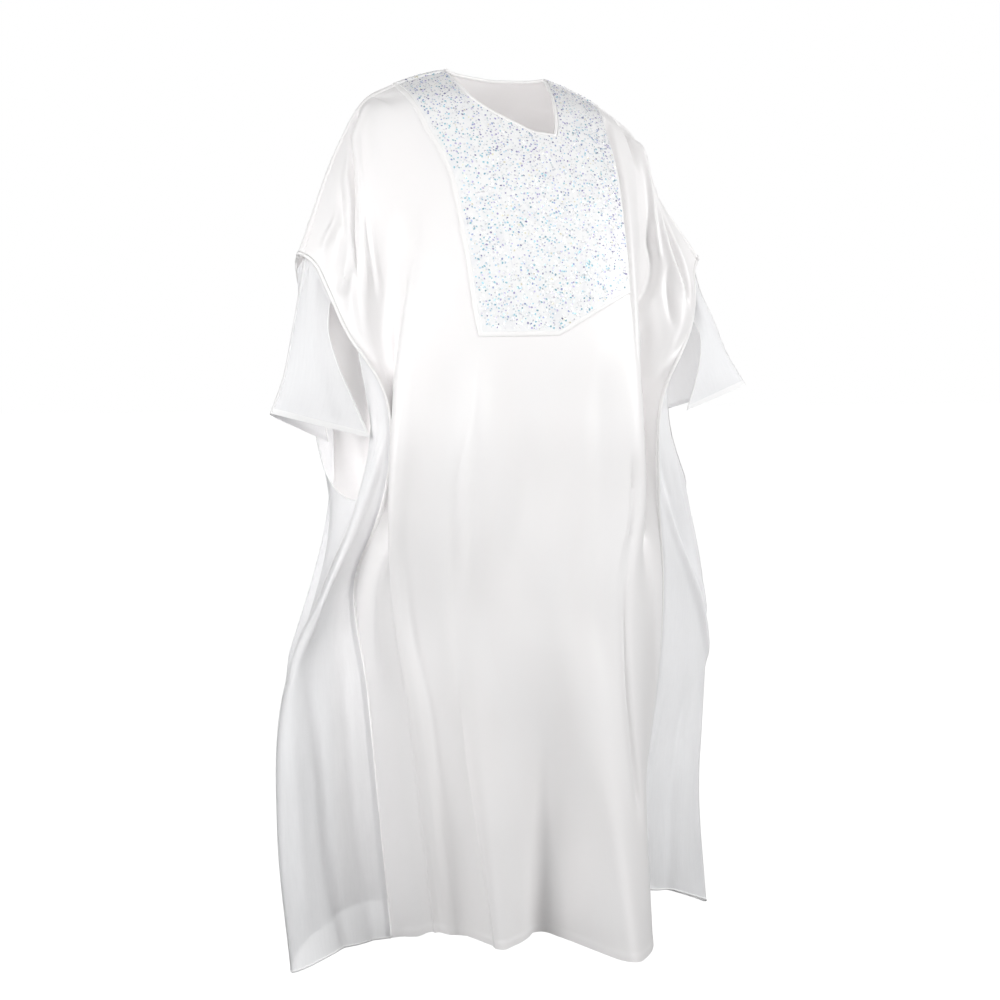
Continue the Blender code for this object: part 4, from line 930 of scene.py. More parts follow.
# ------------------------------------------------------------------ materials
WAVES_TO_METRES = 0.314159      # a wave texture of scale 1 repeats every 0.314 m
TWILL_PERIOD = 0.0006           # metres between two ribs or threads
SHEER_PERIOD = 0.0008
PLY_PERIOD = 0.0005
NET_CELLS = 900.0               # cells of the net, and spots on the sequins, per metre
SHIMMER_SPOTS = 800.0
THIN_SPREAD = 0.05              # opacity that the sheer cloth lacks between its threads


class Nodes:
    """A node material built from a Principled shader."""

    def __init__(self, name, **sockets):
        self.material = bpy.data.materials.new(name)
        self.material.use_nodes = True
        self.tree = self.material.node_tree
        self.shader = self.tree.nodes["Principled BSDF"]
        for socket, value in sockets.items():
            self.shader.inputs[socket.replace("_", " ")].default_value = value
        self.coordinates = self.tree.nodes.new("ShaderNodeUVMap")
        self.coordinates.uv_map = "Cloth"
        self.place = self.coordinates.outputs["UV"]

    def node(self, kind, inputs=(), **settings):
        made = self.tree.nodes.new(kind)
        for name, value in settings.items():
            setattr(made, name, value)
        for name, value in dict(inputs).items():
            if isinstance(value, bpy.types.NodeSocket):
                self.link(value, made.inputs[name])
            else:
                made.inputs[name].default_value = value
        return made

    def link(self, source, target):
        self.tree.links.new(source, target)

    def scaled(self, across, down, turn=0.0):
        """The cloth's flat coordinates, scaled and turned."""
        return self.node("ShaderNodeMapping", {
            "Scale": (across, down, 1.0), "Rotation": (0.0, 0.0, turn),
            "Vector": self.place}).outputs["Vector"]

    def noise(self, across, down, detail=3.0, rough=0.5):
        """Noise with this many spots a metre across and down."""
        return self.node("ShaderNodeTexNoise", {
            "Scale": 1.0, "Detail": detail, "Roughness": rough,
            "Vector": self.scaled(across, down)}).outputs["Fac"]

    def threads(self, period, turn=0.0):
        """Bands with a period in metres."""
        return self.node("ShaderNodeTexWave", {
            "Scale": WAVES_TO_METRES / period, "Distortion": 0.0,
            "Vector": self.scaled(1.0, 1.0, turn)},
            wave_type="BANDS", bands_direction="X").outputs["Fac"]

    def ramp(self, source, stops):
        """Colours along a value, from stops of place and colour."""
        made = self.node("ShaderNodeValToRGB")
        made.color_ramp.elements[0].position = stops[0][0]
        made.color_ramp.elements[0].color = (*stops[0][1], 1.0)
        made.color_ramp.elements[1].position = stops[-1][0]
        made.color_ramp.elements[1].color = (*stops[-1][1], 1.0)
        for position, colour in stops[1:-1]:
            made.color_ramp.elements.new(position).color = (*colour, 1.0)
        self.link(source, made.inputs["Fac"])
        return made.outputs["Color"]

    def ranged(self, source, low, high, first=0.0, last=1.0):
        """A value from first to last, spread from low to high."""
        return self.node("ShaderNodeMapRange", {
            "From Min": first, "From Max": last, "To Min": low, "To Max": high,
            "Value": source}).outputs["Result"]

    def math(self, operation, first, second):
        made = self.node("ShaderNodeMath", operation=operation)
        for socket, value in zip(made.inputs, (first, second)):
            if isinstance(value, (int, float)):
                socket.default_value = value
            else:
                self.link(value, socket)
        return made.outputs["Value"]

    def bump(self, height, strength, distance, before=None):
        inputs = {"Strength": strength, "Distance": distance, "Height": height}
        if before is not None:
            inputs["Normal"] = before
        return self.node("ShaderNodeBump", inputs).outputs["Normal"]

    def feed(self, source, socket):
        self.link(source, self.shader.inputs[socket])


def satin_material(name, white, low_rough, high_rough):
    """Heavy white satin: a twill weave, slight slubs down the warp and a soft gloss."""
    made = Nodes(name, Sheen_Weight=0.25, Sheen_Roughness=0.4, IOR=1.5)
    cloud = made.noise(9.0, 4.0, detail=2.0)
    slub = made.noise(420.0, 22.0, detail=2.0)
    red, green, blue = white
    made.feed(made.ramp(cloud, ((0.35, (red * 0.99, green * 0.985, blue * 0.982)),
                                (0.65, white))), "Base Color")
    made.feed(made.ranged(slub, low_rough, high_rough, 0.3, 0.7), "Roughness")
    twill = made.threads(TWILL_PERIOD, turn=0.7)
    fine = made.bump(twill, 0.12, 0.00012)
    made.feed(made.bump(slub, 0.10, 0.0004, before=fine), "Normal")
    return made.material


def organza_material(name, white, thin, dense):
    """Sheer organza: crisp threads both ways with gaps between them, denser at a slant."""
    made = Nodes(name, Roughness=0.55, Sheen_Weight=0.40, Sheen_Roughness=0.35, IOR=1.25)
    cloud = made.noise(14.0, 7.0, detail=2.0)
    made.feed(made.ramp(cloud, ((0.3, tuple(value * 0.97 for value in white)),
                                (0.7, white))), "Base Color")
    warp = made.threads(SHEER_PERIOD)
    weft = made.threads(SHEER_PERIOD, turn=math.pi / 2)
    weave = made.math("MAXIMUM", warp, weft)
    slub = made.noise(300.0, 24.0, detail=1.0)
    open_share = made.ranged(weave, thin - THIN_SPREAD, thin + THIN_SPREAD)
    open_share = made.math("ADD", open_share, made.ranged(slub, -0.012, 0.012, 0.3, 0.7))
    slant = made.node("ShaderNodeLayerWeight", {"Blend": 0.35})
    slanted = made.ranged(slant.outputs["Facing"], 0.0, dense - thin)
    made.feed(made.math("ADD", open_share, slanted), "Alpha")
    made.feed(made.bump(weave, 0.15, 0.0002), "Normal")
    return made.material


def net_material(name):
    """The bib's ground: a white net over satin, with a faint tint of the sequins."""
    made = Nodes(name, Sheen_Weight=0.2, Sheen_Roughness=0.4, IOR=1.5)
    cloud = made.noise(28.0, 28.0, detail=4.0, rough=0.6)
    made.feed(made.ramp(cloud, ((0.34, (0.875, 0.88, 0.90)), (0.52, (0.955, 0.955, 0.955)),
                                (0.68, (0.895, 0.91, 0.915)))), "Base Color")
    cells = made.node("ShaderNodeTexVoronoi", {
        "Scale": 1.0, "Vector": made.scaled(NET_CELLS, NET_CELLS)},
        feature="DISTANCE_TO_EDGE").outputs["Distance"]
    made.feed(made.ranged(cells, 0.34, 0.55, 0.0, 0.3), "Roughness")
    made.feed(made.bump(cells, 0.10, 0.0002), "Normal")
    return made.material


def sequin_material(name):
    """Thin iridescent sequins, each tinted by its own colour."""
    made = Nodes(name, Metallic=0.25, IOR=1.6, Coat_Weight=0.6, Coat_Roughness=0.12)
    tint = made.node("ShaderNodeAttribute", attribute_name="Tint")
    made.feed(tint.outputs["Color"], "Base Color")
    shimmer = made.noise(SHIMMER_SPOTS, SHIMMER_SPOTS, detail=1.0)
    made.feed(made.ranged(shimmer, 0.18, 0.38, 0.3, 0.7), "Roughness")
    return made.material


def thread_material(name):
    """Twisted white sewing thread."""
    made = Nodes(name, Sheen_Weight=0.4, Sheen_Roughness=0.5)
    ply = made.threads(PLY_PERIOD, turn=0.6)
    made.feed(made.ramp(ply, ((0.2, (0.80, 0.80, 0.81)), (0.8, (0.92, 0.92, 0.92)))),
              "Base Color")
    made.feed(made.ranged(ply, 0.45, 0.6), "Roughness")
    made.feed(made.bump(ply, 0.4, 0.0001), "Normal")
    return made.material


# colour, and least and most roughness
satin = satin_material("white_satin", (0.965, 0.953, 0.953), 0.32, 0.44)
trim = satin_material("white_satin_trim", (0.972, 0.965, 0.962), 0.26, 0.36)
# colour, and opacity seen square on and at a slant
organza = organza_material("white_organza", (0.945, 0.948, 0.960), 0.78, 0.95)
organza_seam = organza_material("white_organza_seam", (0.985, 0.985, 0.985), 0.90, 0.99)
net = net_material("white_sequin_net")
sequin = sequin_material("iridescent_sequins")
thread = thread_material("white_thread")


# ------------------------------------------------------------------ pieces of the robe
def placed(sheet, line, row):
    """Points and normals of a sheet's own mesh between its points."""
    column = np.interp(line, sheet.lines, range(len(sheet.lines)))
    level = np.interp(row, sheet.rows, range(len(sheet.rows)))
    return between(sheet.points, level, column), unit(between(sheet.normals, level, column))


def add_bib(sheet):
    """The bib's net, on the front's own points, moved out past the seam gap."""
    foot = sheet.row_index(sheet.panel.upper_rows)
    first = sheet.line_index(FIRST_BIB)
    last = sheet.line_index(LAST_BIB)
    points = sheet.points[:foot + 1, first:last + 1]
    normals = sheet.normals[:foot + 1, first:last + 1]
    cloth = add_cloth("bib_cloth", points, normals, BIB_LIFT, BIB_LIFT + BIB_WALL,
                      net)
    return cloth, points, normals


def band_lines(upper):
    """Mesh lines and rows of the band round the bib's free edge, from inside to outside."""
    down = np.linspace(0.0, upper, int(upper * BAND_DOWN_STEPS) + 1)
    along = np.linspace(FIRST_BIB, LAST_BIB, int((LAST_BIB - FIRST_BIB) * BAND_ALONG_STEPS) + 1)
    inner = [(FIRST_BIB, row, -1.0, max(0.0, row - upper + 1.0)) for row in down[:-1]]
    for line in along:
        out = -max(0.0, 1.0 - (line - FIRST_BIB)) + max(0.0, 1.0 - (LAST_BIB - line))
        inner.append((line, upper, out, 1.0))
    inner += [(LAST_BIB, row, 1.0, max(0.0, row - upper + 1.0)) for row in down[-2::-1]]
    inner = np.array(inner)
    part = np.linspace(0.0, 1.0, BAND_STEPS + 1)[None, :]
    line = inner[:, :1] + inner[:, 2:3] * part
    row = inner[:, 1:2] + inner[:, 3:4] * part
    return line, row, part


def add_bib_band(sheet):
    """The satin band round the bib's free edge, thickest along its middle."""
    line, row, part = band_lines(float(sheet.panel.upper_rows))
    points, normals = placed(sheet, line, row)
    crown = BAND_WALL * (0.5 + 0.5 * np.sin(math.pi * part) ** 0.5)
    high = BIB_LIFT + np.broadcast_to(crown, line.shape)
    return add_cloth("bib_satin_band", points, normals, BIB_LIFT, high, trim)


def neckline(front, back):
    """The neck opening's edge, along the front and back along the back."""
    first = front.line_index(FIRST_BIB + NECK_FIRST_LINE)
    last = front.line_index(FIRST_BIB + NECK_LAST_LINE)
    path = np.vstack([front.points[0, first:last + 1], back.points[0, last - 1:first:-1]])
    normals = np.vstack([front.normals[0, first:last + 1], back.normals[0, last - 1:first:-1]])
    return path, normals


def add_neck_binding(front, back):
    """The rounded satin binding inside the neck opening."""
    path, normals = neckline(front, back)
    for _ in range(3):
        normals = unit(np.roll(normals, 1, axis=0) + normals * 2.0 + np.roll(normals, -1, axis=0))
    sides = mitred(path, normals, closed=True)
    if sides[0].dot(path[0] - path.mean(axis=0)) > 0.0:
        sides = -sides
    centred = path + sides * (SEAM_GAP + NECK_BINDING_WIDTH * 0.5)
    centred += normals * ((BIB_WALL + SEAM_GAP) * 0.5)
    return add_tube("neck_satin_binding", centred, sides, normals, NECK_BINDING_WIDTH,
                    NECK_BINDING_THICK, "satin_trim", trim, closed=True, ring=12)


def add_piping(name, sheet, is_right):
    """The binding along a panel's side edge, puckered a little by its sewing."""
    _, normals = sheet.edge(is_right)
    centres = piping_centres(sheet, is_right)
    along = lengths_along(centres)
    pucker = 1.0
    for share, pace, phase in PUCKERS:
        pucker = pucker + share * np.sin(along * pace + phase)
    return add_tube(name, centres, edge_sides(sheet, is_right), normals,
                    EDGE_BINDING_WIDTH, EDGE_BINDING_THICK * pucker, "satin_trim", trim)


def crease_height(points, creases):
    """Heights of creases on a grid; their paths are shares across and down."""
    rows, columns = points.shape[:2]
    height = np.zeros(rows * columns)
    share_across = np.tile(np.linspace(0.0, 1.0, columns), rows)
    for depth, near, far, path in creases:
        track = crease_track(path)
        column = np.clip(track[:, 0], 0.0, 1.0) * (columns - 1)
        level = np.clip(track[:, 1], 0.0, 1.0) * (rows - 1)
        height += crease_shape(points.reshape(-1, 3), share_across, track,
                               between(points, level, column), depth, near, far,
                               path[-1][1] >= 1.0)
    return height.reshape(rows, columns)


def outward_normals(points, outside):
    """Normals of a grid at the robe's side, where outside is the sign of x."""
    normals = surface_normals(points, 1.0)
    return -normals if (normals[..., 0] * outside).sum() < 0.0 else normals


def creased(points, creases, outside):
    """The grid with its creases, which fade out at its two sides."""
    normals = outward_normals(points, outside)
    height = crease_height(points, creases)
    from_start = np.linalg.norm(points - points[:, :1], axis=2)
    from_end = np.linalg.norm(points - points[:, -1:], axis=2)
    height *= smoothstep(from_start / CREASE_HOLD) * smoothstep(from_end / CREASE_HOLD)
    return points + normals * height[..., None], normals


def gore_points(sheet, is_right, seam_table, belly, armhole):
    """A gore's grid from the piped edge to the side seam, from the armhole to the hem."""
    facing = sheet.panel.facing
    outside = -1.0 if is_right else 1.0
    _, normals = sheet.edge(is_right)
    sides = unit(edge_sides(sheet, is_right))
    centres = piping_centres(sheet, is_right)
    first_row = sheet.panel.upper_rows + FOOT_ROWS - GORE_ROWS_ABOVE[0 if is_right else 1]
    used = sheet.rows >= first_row - 1e-6
    edge_sections = sheet.sections[used, 0 if is_right else -1]
    past_top = edge_sections - edge_sections[0]
    share_down = past_top / (LAST_SECTION - edge_sections[0])
    section = UNDERARM_SECTION + (LAST_SECTION - UNDERARM_SECTION) * share_down
    seam = table_point(seam_table, section)
    seam[:, 1] += facing * SEAM_GAP
    target = seam - centres[used]
    angle = np.arctan2((target * normals[used]).sum(axis=1), (target * sides[used]).sum(axis=1))
    angle = np.clip(angle, -0.5 * math.pi, 0.5 * math.pi)[:, None]
    past = EDGE_BINDING_WIDTH * 0.5 + SEAM_GAP + ORGANZA_WALL * 0.5
    beside = EDGE_BINDING_THICK * 0.5 + SEAM_GAP + ORGANZA_WALL * 0.5
    start = (centres[used] + sides[used] * past * np.cos(angle)
             + normals[used] * beside * np.sin(angle))
    width = np.linalg.norm(seam - start, axis=1)[:, None]
    leave, arrive, lean = [table_value(belly, section, item)[:, None] for item in (1, 2, 3)]
    first = start + (seam - start) * GORE_REACH
    first = first + width * leave * np.array((outside, 0.0, 0.0))
    turned = np.hstack([-outside * lean * facing, lean * 0.0 + facing, lean * 0.0])
    second = seam + turned * width * arrive
    weight = np.maximum(0.0, 1.0 - past_top / ARMHOLE_FADE)[:, None] ** 2
    leaving, arriving = [np.array((-outside * inwards, facing * away, up))
                         for inwards, away, up in armhole]
    first = first + (start + leaving - first) * weight
    second = second + (seam + arriving - second) * weight
    share = np.linspace(0.0, 1.0, GORE_STEPS + 1)[None, :, None]
    rest = 1.0 - share
    points = (start[:, None] * rest ** 3 + first[:, None] * (3.0 * rest * rest * share)
              + second[:, None] * (3.0 * rest * share * share) + seam[:, None] * share ** 3)
    rise = table_value(GORE_HEM, share[0, :, 0])[None, :] * hem_growth(section)[:, None]
    points[..., 2] += rise
    return points


def from_edge(points, normals, edge):
    """A grid and its normals turned so that the edge is its first column."""
    if edge in ("top", "bottom"):
        points = points.transpose(1, 0, 2)
        normals = normals.transpose(1, 0, 2)
    if edge in ("end", "bottom"):
        points = points[:, ::-1]
        normals = normals[:, ::-1]
    return points, normals


def add_edge_roll(name, points, normals, edge, size):
    """A narrow rolled hem along one edge of a sheer piece."""
    points, normals = from_edge(points, normals, edge)
    sides = unit(points[:, 0] - points[:, 1])
    return add_tube(name, points[:, 0], sides, normals[:, 0], *size, "organza", organza_seam,
                    ring=8)


def add_edge_band(name, points, normals, edge, size, steps=3):
    """A strip of a second layer along one edge of a sheer piece, of an even width."""
    width, lift = size
    points, normals = from_edge(points, normals, edge)
    wanted = np.linspace(0.0, width, steps + 1)
    rows = []
    for row, up in zip(points, normals):
        across = lengths_along(row)
        rows.append(interpolated(wanted, across, row) + interpolated(wanted, across, up) * lift)
    return add_leaf(name, np.array(rows), organza_seam)


def add_gore(name, side, sheet, is_right, seam_table, belly, armhole):
    """A side gore with its allowance, its half of the French seam and its rolled hems."""
    points = gore_points(sheet, is_right, seam_table, belly, armhole)
    points, normals = creased(points, GORE_CREASES, -1.0 if is_right else 1.0)
    gore = add_leaf(f"{name}_organza_gore_{side}", points, organza)
    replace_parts(gore, f"{name}_gore_{side}")
    trims = [add_trim(f"{name}_gore_{part}_{side}", points, normals, edge, size)
             for add_trim, part, edge, size in (
                 (add_edge_band, "allowance", "start", GORE_ALLOWANCE),
                 (add_edge_band, "french_seam", "end", FRENCH_SEAM),
                 (add_edge_roll, "armhole_hem", "top", ARMHOLE_ROLL),
                 (add_edge_roll, "rolled_hem", "bottom", GORE_HEM_ROLL))]


class CapEdge:
    """Frames along a cap's edge, from the front (-1) over the tip (0) to the rear (+1)."""

    def __init__(self, front, back, is_right):
        places = []
        frames = []
        for sheet, direction in ((front, -1.0), (back, 1.0)):
            points, normals = sheet.edge(is_right)
            sides = edge_sides(sheet, is_right)
            sections = sheet.sections[:, 0 if is_right else -1]
            used = sections <= SLEEVE_SECTION
            places.append(direction * sections[used] / SLEEVE_SECTION)
            frames.append(np.hstack([points[used], normals[used], sides[used]]))
        places = np.concatenate(places)
        order = np.argsort(places, kind="stable")
        self.places = places[order]
        self.frames = np.vstack(frames)[order]
        self.tip_inward = -unit(self.frame(np.array([0.0]))[1])[0]

    def frame(self, place):
        """Point, normal and outward side at a place."""
        values = interpolated(place, self.places, self.frames)
        return values[..., :3], values[..., 3:6], values[..., 6:]

    def opening(self, place):
        """0 where the cap's two edges meet at its tip, 1 where they are well apart."""
        gap = np.linalg.norm(self.frame(place)[0] - self.frame(-place)[0], axis=-1)
        return np.clip((gap - TIP_GAP) / (OPEN_GAP - TIP_GAP), 0.0, 1.0)[..., None]

    def under(self, place, past, drop):
        """Points under the cap's cloth, this far past its edge and dropped inside its tip."""
        point, normal, side = self.frame(place)
        opening = self.opening(place)
        tucked = self.tip_inward * TIP_TUCK
        inward = tucked + (-unit(normal) * SLEEVE_TUCK - tucked) * opening
        reach = unit(side) * (past * opening if past > 0.0 else past)
        fall = np.array((0.0, 0.0, drop)) * (1.0 - opening)
        return point + reach + inward - fall


def sleeve_level(lines, position, outside):
    """The five points that a level of the sleeve runs through."""
    belly = float(listed(SLEEVE_BELLY, position))
    ends = [spline(lines[name], position) for name in ("front", "over", "rear")]
    middles = []
    for low, high in zip(ends, ends[1:]):
        across = high - low
        bend = np.array((-across[1], across[0], 0.0)) * belly
        if bend[0] * outside < 0.0:
            bend = -bend
        middles.append((low + high) * 0.5 + bend)
    return np.array([ends[0], middles[0], ends[1], middles[1], ends[2]])


def sleeve_points(front, back, is_right, table):
    """A sleeve's grid from inside the cap down to its hem, from its front edge to its rear."""
    outside = -1.0 if is_right else 1.0
    lines = fold_arrays(table)
    cap = CapEdge(front, back, is_right)
    half = np.linspace(0.0, 1.0, SLEEVE_HALF_STEPS + 1) ** SLEEVE_CROWDING
    places = np.concatenate([-half[:0:-1], half])
    beyond = EDGE_BINDING_WIDTH + SEAM_GAP + SLEEVE_TUCK
    rim = cap.under(places, beyond, TIP_DROP)
    tucked = cap.under(places, -SLEEVE_INSET, 0.0)
    position = (places + 1.0) * 2.0
    top = spline(sleeve_level(lines, 0.0, outside), position)
    rows = [tucked, (tucked + rim) * 0.5, rim]
    last = len(SLEEVE_BELLY) - 1
    for level in range(1, SLEEVE_ROWS + 1):
        share = level / SLEEVE_ROWS
        controls = sleeve_level(lines, share * last, outside)
        fade = max(0.0, 1.0 - share / SLEEVE_FADE) ** 2
        rows.append(spline(controls, position) + (rim - top) * fade)
    return np.array(rows)


def add_sleeve(side, front, back, is_right, table):
    """A flared sleeve, open at the front, with its seam over the arm and its hems."""
    points = sleeve_points(front, back, is_right, table)
    normals = outward_normals(points, -1.0 if is_right else 1.0)
    sleeve = add_leaf(f"organza_sleeve_{side}", points, organza)
    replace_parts(sleeve, f"sleeve_{side}")
    middle = points.shape[1] // 2
    across = unit(points[3:, middle + 1] - points[3:, middle - 1])
    trims = [add_tube(f"sleeve_over_seam_{side}", points[3:, middle], across,
                      normals[3:, middle], *SLEEVE_SEAM_ROLL, "organza", organza_seam)]
    trims += [add_edge_roll(f"sleeve_{edge}_hem_{side}", points[2:], normals[2:], edge,
                            SLEEVE_EDGE_ROLL) for edge in ("start", "end")]
    trims.append(add_edge_band(f"sleeve_cuff_hem_{side}", points, normals, "bottom", CUFF_HEM))


# ------------------------------------------------------------------ sequins and sewing
# Tints of the sequins: red, green, blue, how often beside the neck, and in the lower bib.
SEQUIN_TINTS = (
    (0.27, 0.26, 0.46, 0.09, 0.03), (0.44, 0.40, 0.67, 0.13, 0.03),
    (0.36, 0.44, 0.72, 0.09, 0.05), (0.38, 0.70, 0.81, 0.03, 0.15),
    (0.25, 0.47, 0.58, 0.02, 0.04), (0.58, 0.78, 0.93, 0.06, 0.12),
    (0.66, 0.62, 0.90, 0.09, 0.05), (0.98, 0.98, 1.00, 0.20, 0.22),
    (0.98, 0.93, 0.74, 0.03, 0.03), (0.78, 0.80, 0.86, 0.14, 0.12),
    (0.86, 0.84, 0.92, 0.08, 0.06), (0.84, 0.92, 0.96, 0.05, 0.11))
SEQUIN_COUNT = 3300
SEQUIN_SPACING = 0.0032
SEQUIN_LENGTH = 0.0038
SEQUIN_WIDTH = 0.0028
SEQUIN_CORNERS = 6
SEQUIN_CUP = 0.00025            # how deep a sequin's middle lies below its rim
SEQUIN_LIFT = 0.0004            # how far the rim lies off the net
SEQUIN_SIZES = (0.65, 1.2)      # least and most, as shares
SEQUIN_SHADES = (0.85, 1.12)
SEQUIN_TILT = 0.16              # usual slope of a sequin against the net
SEQUIN_MARGIN = 0.006           # share of the bib left bare at its edges
SEQUIN_SEED = 11
SEQUIN_TRIES = 6                # places drawn for each sequin, most of them too close
# The tints beside the neck fade out between two shares of the way down the bib. Most of
# them come back on the strip at its left end, between two shares of the way across.
NECK_TINTS_END = (0.28, 0.30)       # where they start to fade, and over how much
STRIP_TINTS = (0.88, 0.08, 0.8)     # the same across, and how much of them comes back


def scattered(points, normals, count, spacing, margin, random):
    """Places on a grid, evenly by area and no closer than a spacing."""
    across = points[:-1, 1:] - points[:-1, :-1]
    down = points[1:, :-1] - points[:-1, :-1]
    area = np.linalg.norm(np.cross(across, down), axis=2)
    share = (area / area.sum()).ravel()
    cells = random.choice(area.size, size=count * SEQUIN_TRIES, p=share)
    rows, columns = np.unravel_index(cells, area.shape)
    part = random.random((len(cells), 2))
    taken = {}
    chosen = []
    for row, column, (right, below) in zip(rows, columns, part):
        upper = points[row, column] * (1 - right) + points[row, column + 1] * right
        lower = points[row + 1, column] * (1 - right) + points[row + 1, column + 1] * right
        place = upper * (1 - below) + lower * below
        key = tuple((place / spacing).astype(int))
        near = [taken[(key[0] + x, key[1] + y, key[2] + z)]
                for x in (-1, 0, 1) for y in (-1, 0, 1) for z in (-1, 0, 1)
                if (key[0] + x, key[1] + y, key[2] + z) in taken]
        if any(np.linalg.norm(place - other) < spacing for other in near):
            continue
        side = min(column + right, area.shape[1] - column - right) / area.shape[1]
        if side < margin or row + below > area.shape[0] * (1 - margin):
            continue
        taken[key] = place
        chosen.append((place, normals[row, column], (column + right) / area.shape[1],
                       (row + below) / area.shape[0]))
        if len(chosen) >= count:
            break
    return chosen


def add_sequins(points, normals):
    """Small oval cupped sequins sewn flat all over the bib, joined in one mesh."""
    random = np.random.default_rng(SEQUIN_SEED)
    places = scattered(points, normals, SEQUIN_COUNT, SEQUIN_SPACING, SEQUIN_MARGIN, random)
    turn = np.linspace(0.0, 2.0 * math.pi, SEQUIN_CORNERS, endpoint=False)
    outline = np.stack([np.cos(turn) * 0.5, np.sin(turn) * 0.5], axis=1)
    lift = BIB_LIFT + BIB_WALL + SEQUIN_LIFT
    vertices = []
    faces = []
    tints = []
    table = np.array(SEQUIN_TINTS)
    fade_from, fade_over = NECK_TINTS_END
    strip_from, strip_over, strip_share = STRIP_TINTS
    for place, normal, across, down in places:
        near_neck = float(np.clip(1.0 - (down - fade_from) / fade_over, 0.0, 1.0))
        on_strip = float(np.clip((across - strip_from) / strip_over, 0.0, 1.0))
        near_neck = max(near_neck, on_strip * strip_share)
        odds = table[:, 3] * near_neck + table[:, 4] * (1.0 - near_neck)
        tint = table[random.choice(len(table), p=odds / odds.sum()), :3]
        tint = np.clip(tint * random.uniform(*SEQUIN_SHADES), 0.0, 1.0)
        angle = random.uniform(0.0, math.pi)
        right = unit(np.cross(normal, np.cross((1.0, 0.0, 0.0), normal)))
        up = np.cross(normal, right)
        tilt = random.normal(0.0, SEQUIN_TILT, 2)
        along = unit(right * math.cos(angle) + up * math.sin(angle) + normal * tilt[0])
        beside = unit(np.cross(normal, along) + normal * tilt[1])
        size = random.uniform(*SEQUIN_SIZES)
        centre = place + normal * lift
        first = len(vertices)
        vertices.append(centre - normal * SEQUIN_CUP)
        for x, y in outline:
            vertices.append(centre + along * (x * SEQUIN_LENGTH * size)
                            + beside * (y * SEQUIN_WIDTH * size))
        for corner in range(SEQUIN_CORNERS):
            faces.append((first, first + 1 + corner, first + 1 + (corner + 1) % SEQUIN_CORNERS))
        tints += [(*tint, 1.0)] * (SEQUIN_CORNERS + 1)
    thing = smooth_mesh("bib_sequins", vertices, faces, sequin,
                        uv=np.array(vertices)[:, [0, 2]], angle=20.0)
    colours = thing.data.color_attributes.new("Tint", "FLOAT_COLOR", "POINT")
    colours.data.foreach_set("color", np.array(tints, np.float32).ravel())
    return thing


def add_stitches(name, path, normals, lift):
    """A line of machine stitches along a path, joined in one mesh."""
    length = STITCH_LENGTH
    width = STITCH_WIDTH
    along = lengths_along(path)
    starts = np.arange(STITCH_MARGIN, along[-1] - STITCH_MARGIN, STITCH_PITCH)
    up = unit(interpolated(starts + length * 0.5, along, normals))
    head = interpolated(starts, along, path)
    tail = interpolated(starts + length, along, path)
    middle = (head + tail) * 0.5 + up * (lift + width * 0.45)
    head = head + up * (lift - width * 0.3)
    tail = tail + up * (lift - width * 0.3)
    side = unit(np.cross(tail - head, up)) * (width * 0.5)
    vertices = np.stack([head, middle + side, middle + up * (width * 0.4), middle - side, tail],
                        axis=1)
    faces = []
    for index in range(len(starts)):
        base = index * 5
        faces += [(base, base + 1, base + 2), (base, base + 2, base + 3),
                  (base + 4, base + 2, base + 1), (base + 4, base + 3, base + 2)]
    flat = vertices.reshape(-1, 3)
    uv = np.stack([flat[:, 0] + flat[:, 1], flat[:, 2]], axis=1)
    return smooth_mesh(name, flat, faces, thread, uv=uv, angle=None)


# ------------------------------------------------------------------ the robe
right = fold_arrays(RIGHT_FRONT)
left = fold_arrays(LEFT_FRONT)
front_panel = Panel(right, left, FRONT_BULGE, NECK_RISE, FRONT_WAVES, FRONT_HEM, NECK_FRONT,
                    -1.0, FRONT_UPPER_ROWS)
back_panel = Panel(back_arrays(right, -1.0), back_arrays(left, 1.0), BACK_BULGE,
                   BACK_NECK_RISE, BACK_WAVES, BACK_HEM, NECK_BACK, 1.0, BACK_UPPER_ROWS)
front = Sheet(front_panel, FRONT_CREASES)
back = Sheet(back_panel, BACK_CREASES)
for name, sheet in (("front", front), ("back", back)):
    piece = add_cloth(name + "_satin", sheet.points, sheet.normals, -SATIN_WALL * 0.5,
                      SATIN_WALL * 0.5, satin)
    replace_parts(piece, name + "_panel")

bib, bib_points, bib_normals = add_bib(front)
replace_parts(bib, "bib")
sequins = add_sequins(bib_points, bib_normals)
band = add_bib_band(front)
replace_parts(band, "bib_band")
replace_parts(add_neck_binding(front, back), "neck_binding")

for side, is_right, sleeve_table, seam_table, front_belly in (
        ("right", True, RIGHT_SLEEVE, RIGHT_SIDE_SEAM, RIGHT_BELLY),
        ("left", False, LEFT_SLEEVE, LEFT_SIDE_SEAM, LEFT_BELLY)):
    for name, sheet, belly, armhole in (("front", front, front_belly, FRONT_ARMHOLE),
                                        ("back", back, BACK_BELLY, BACK_ARMHOLE)):
        piping = add_piping(f"{name}_edge_piping_{side}", sheet, is_right)
        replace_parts(piping, f"{name}_piping_{side}")
        column = STITCHED_COLUMN if is_right else -1 - STITCHED_COLUMN
        add_stitches(f"{name}_edge_stitches_{side}", sheet.points[:, column],
                     sheet.normals[:, column], SATIN_WALL * 0.5)
        add_gore(name, side, sheet, is_right, seam_table, belly, armhole)
    add_sleeve(side, front, back, is_right, sleeve_table)

# ------------------------------------------------------------------ floor, light and camera
FLOOR_HEIGHT = -1.50
FLOOR_REACH = 40.0
FLOOR_GREY = 0.10
SKY_STRENGTH = 0.68
HORIZON = (0.12, 1.0)           # upwards direction and grey up to where the studio is bright
ZENITH = (0.75, 0.50)           # and from where it is dull
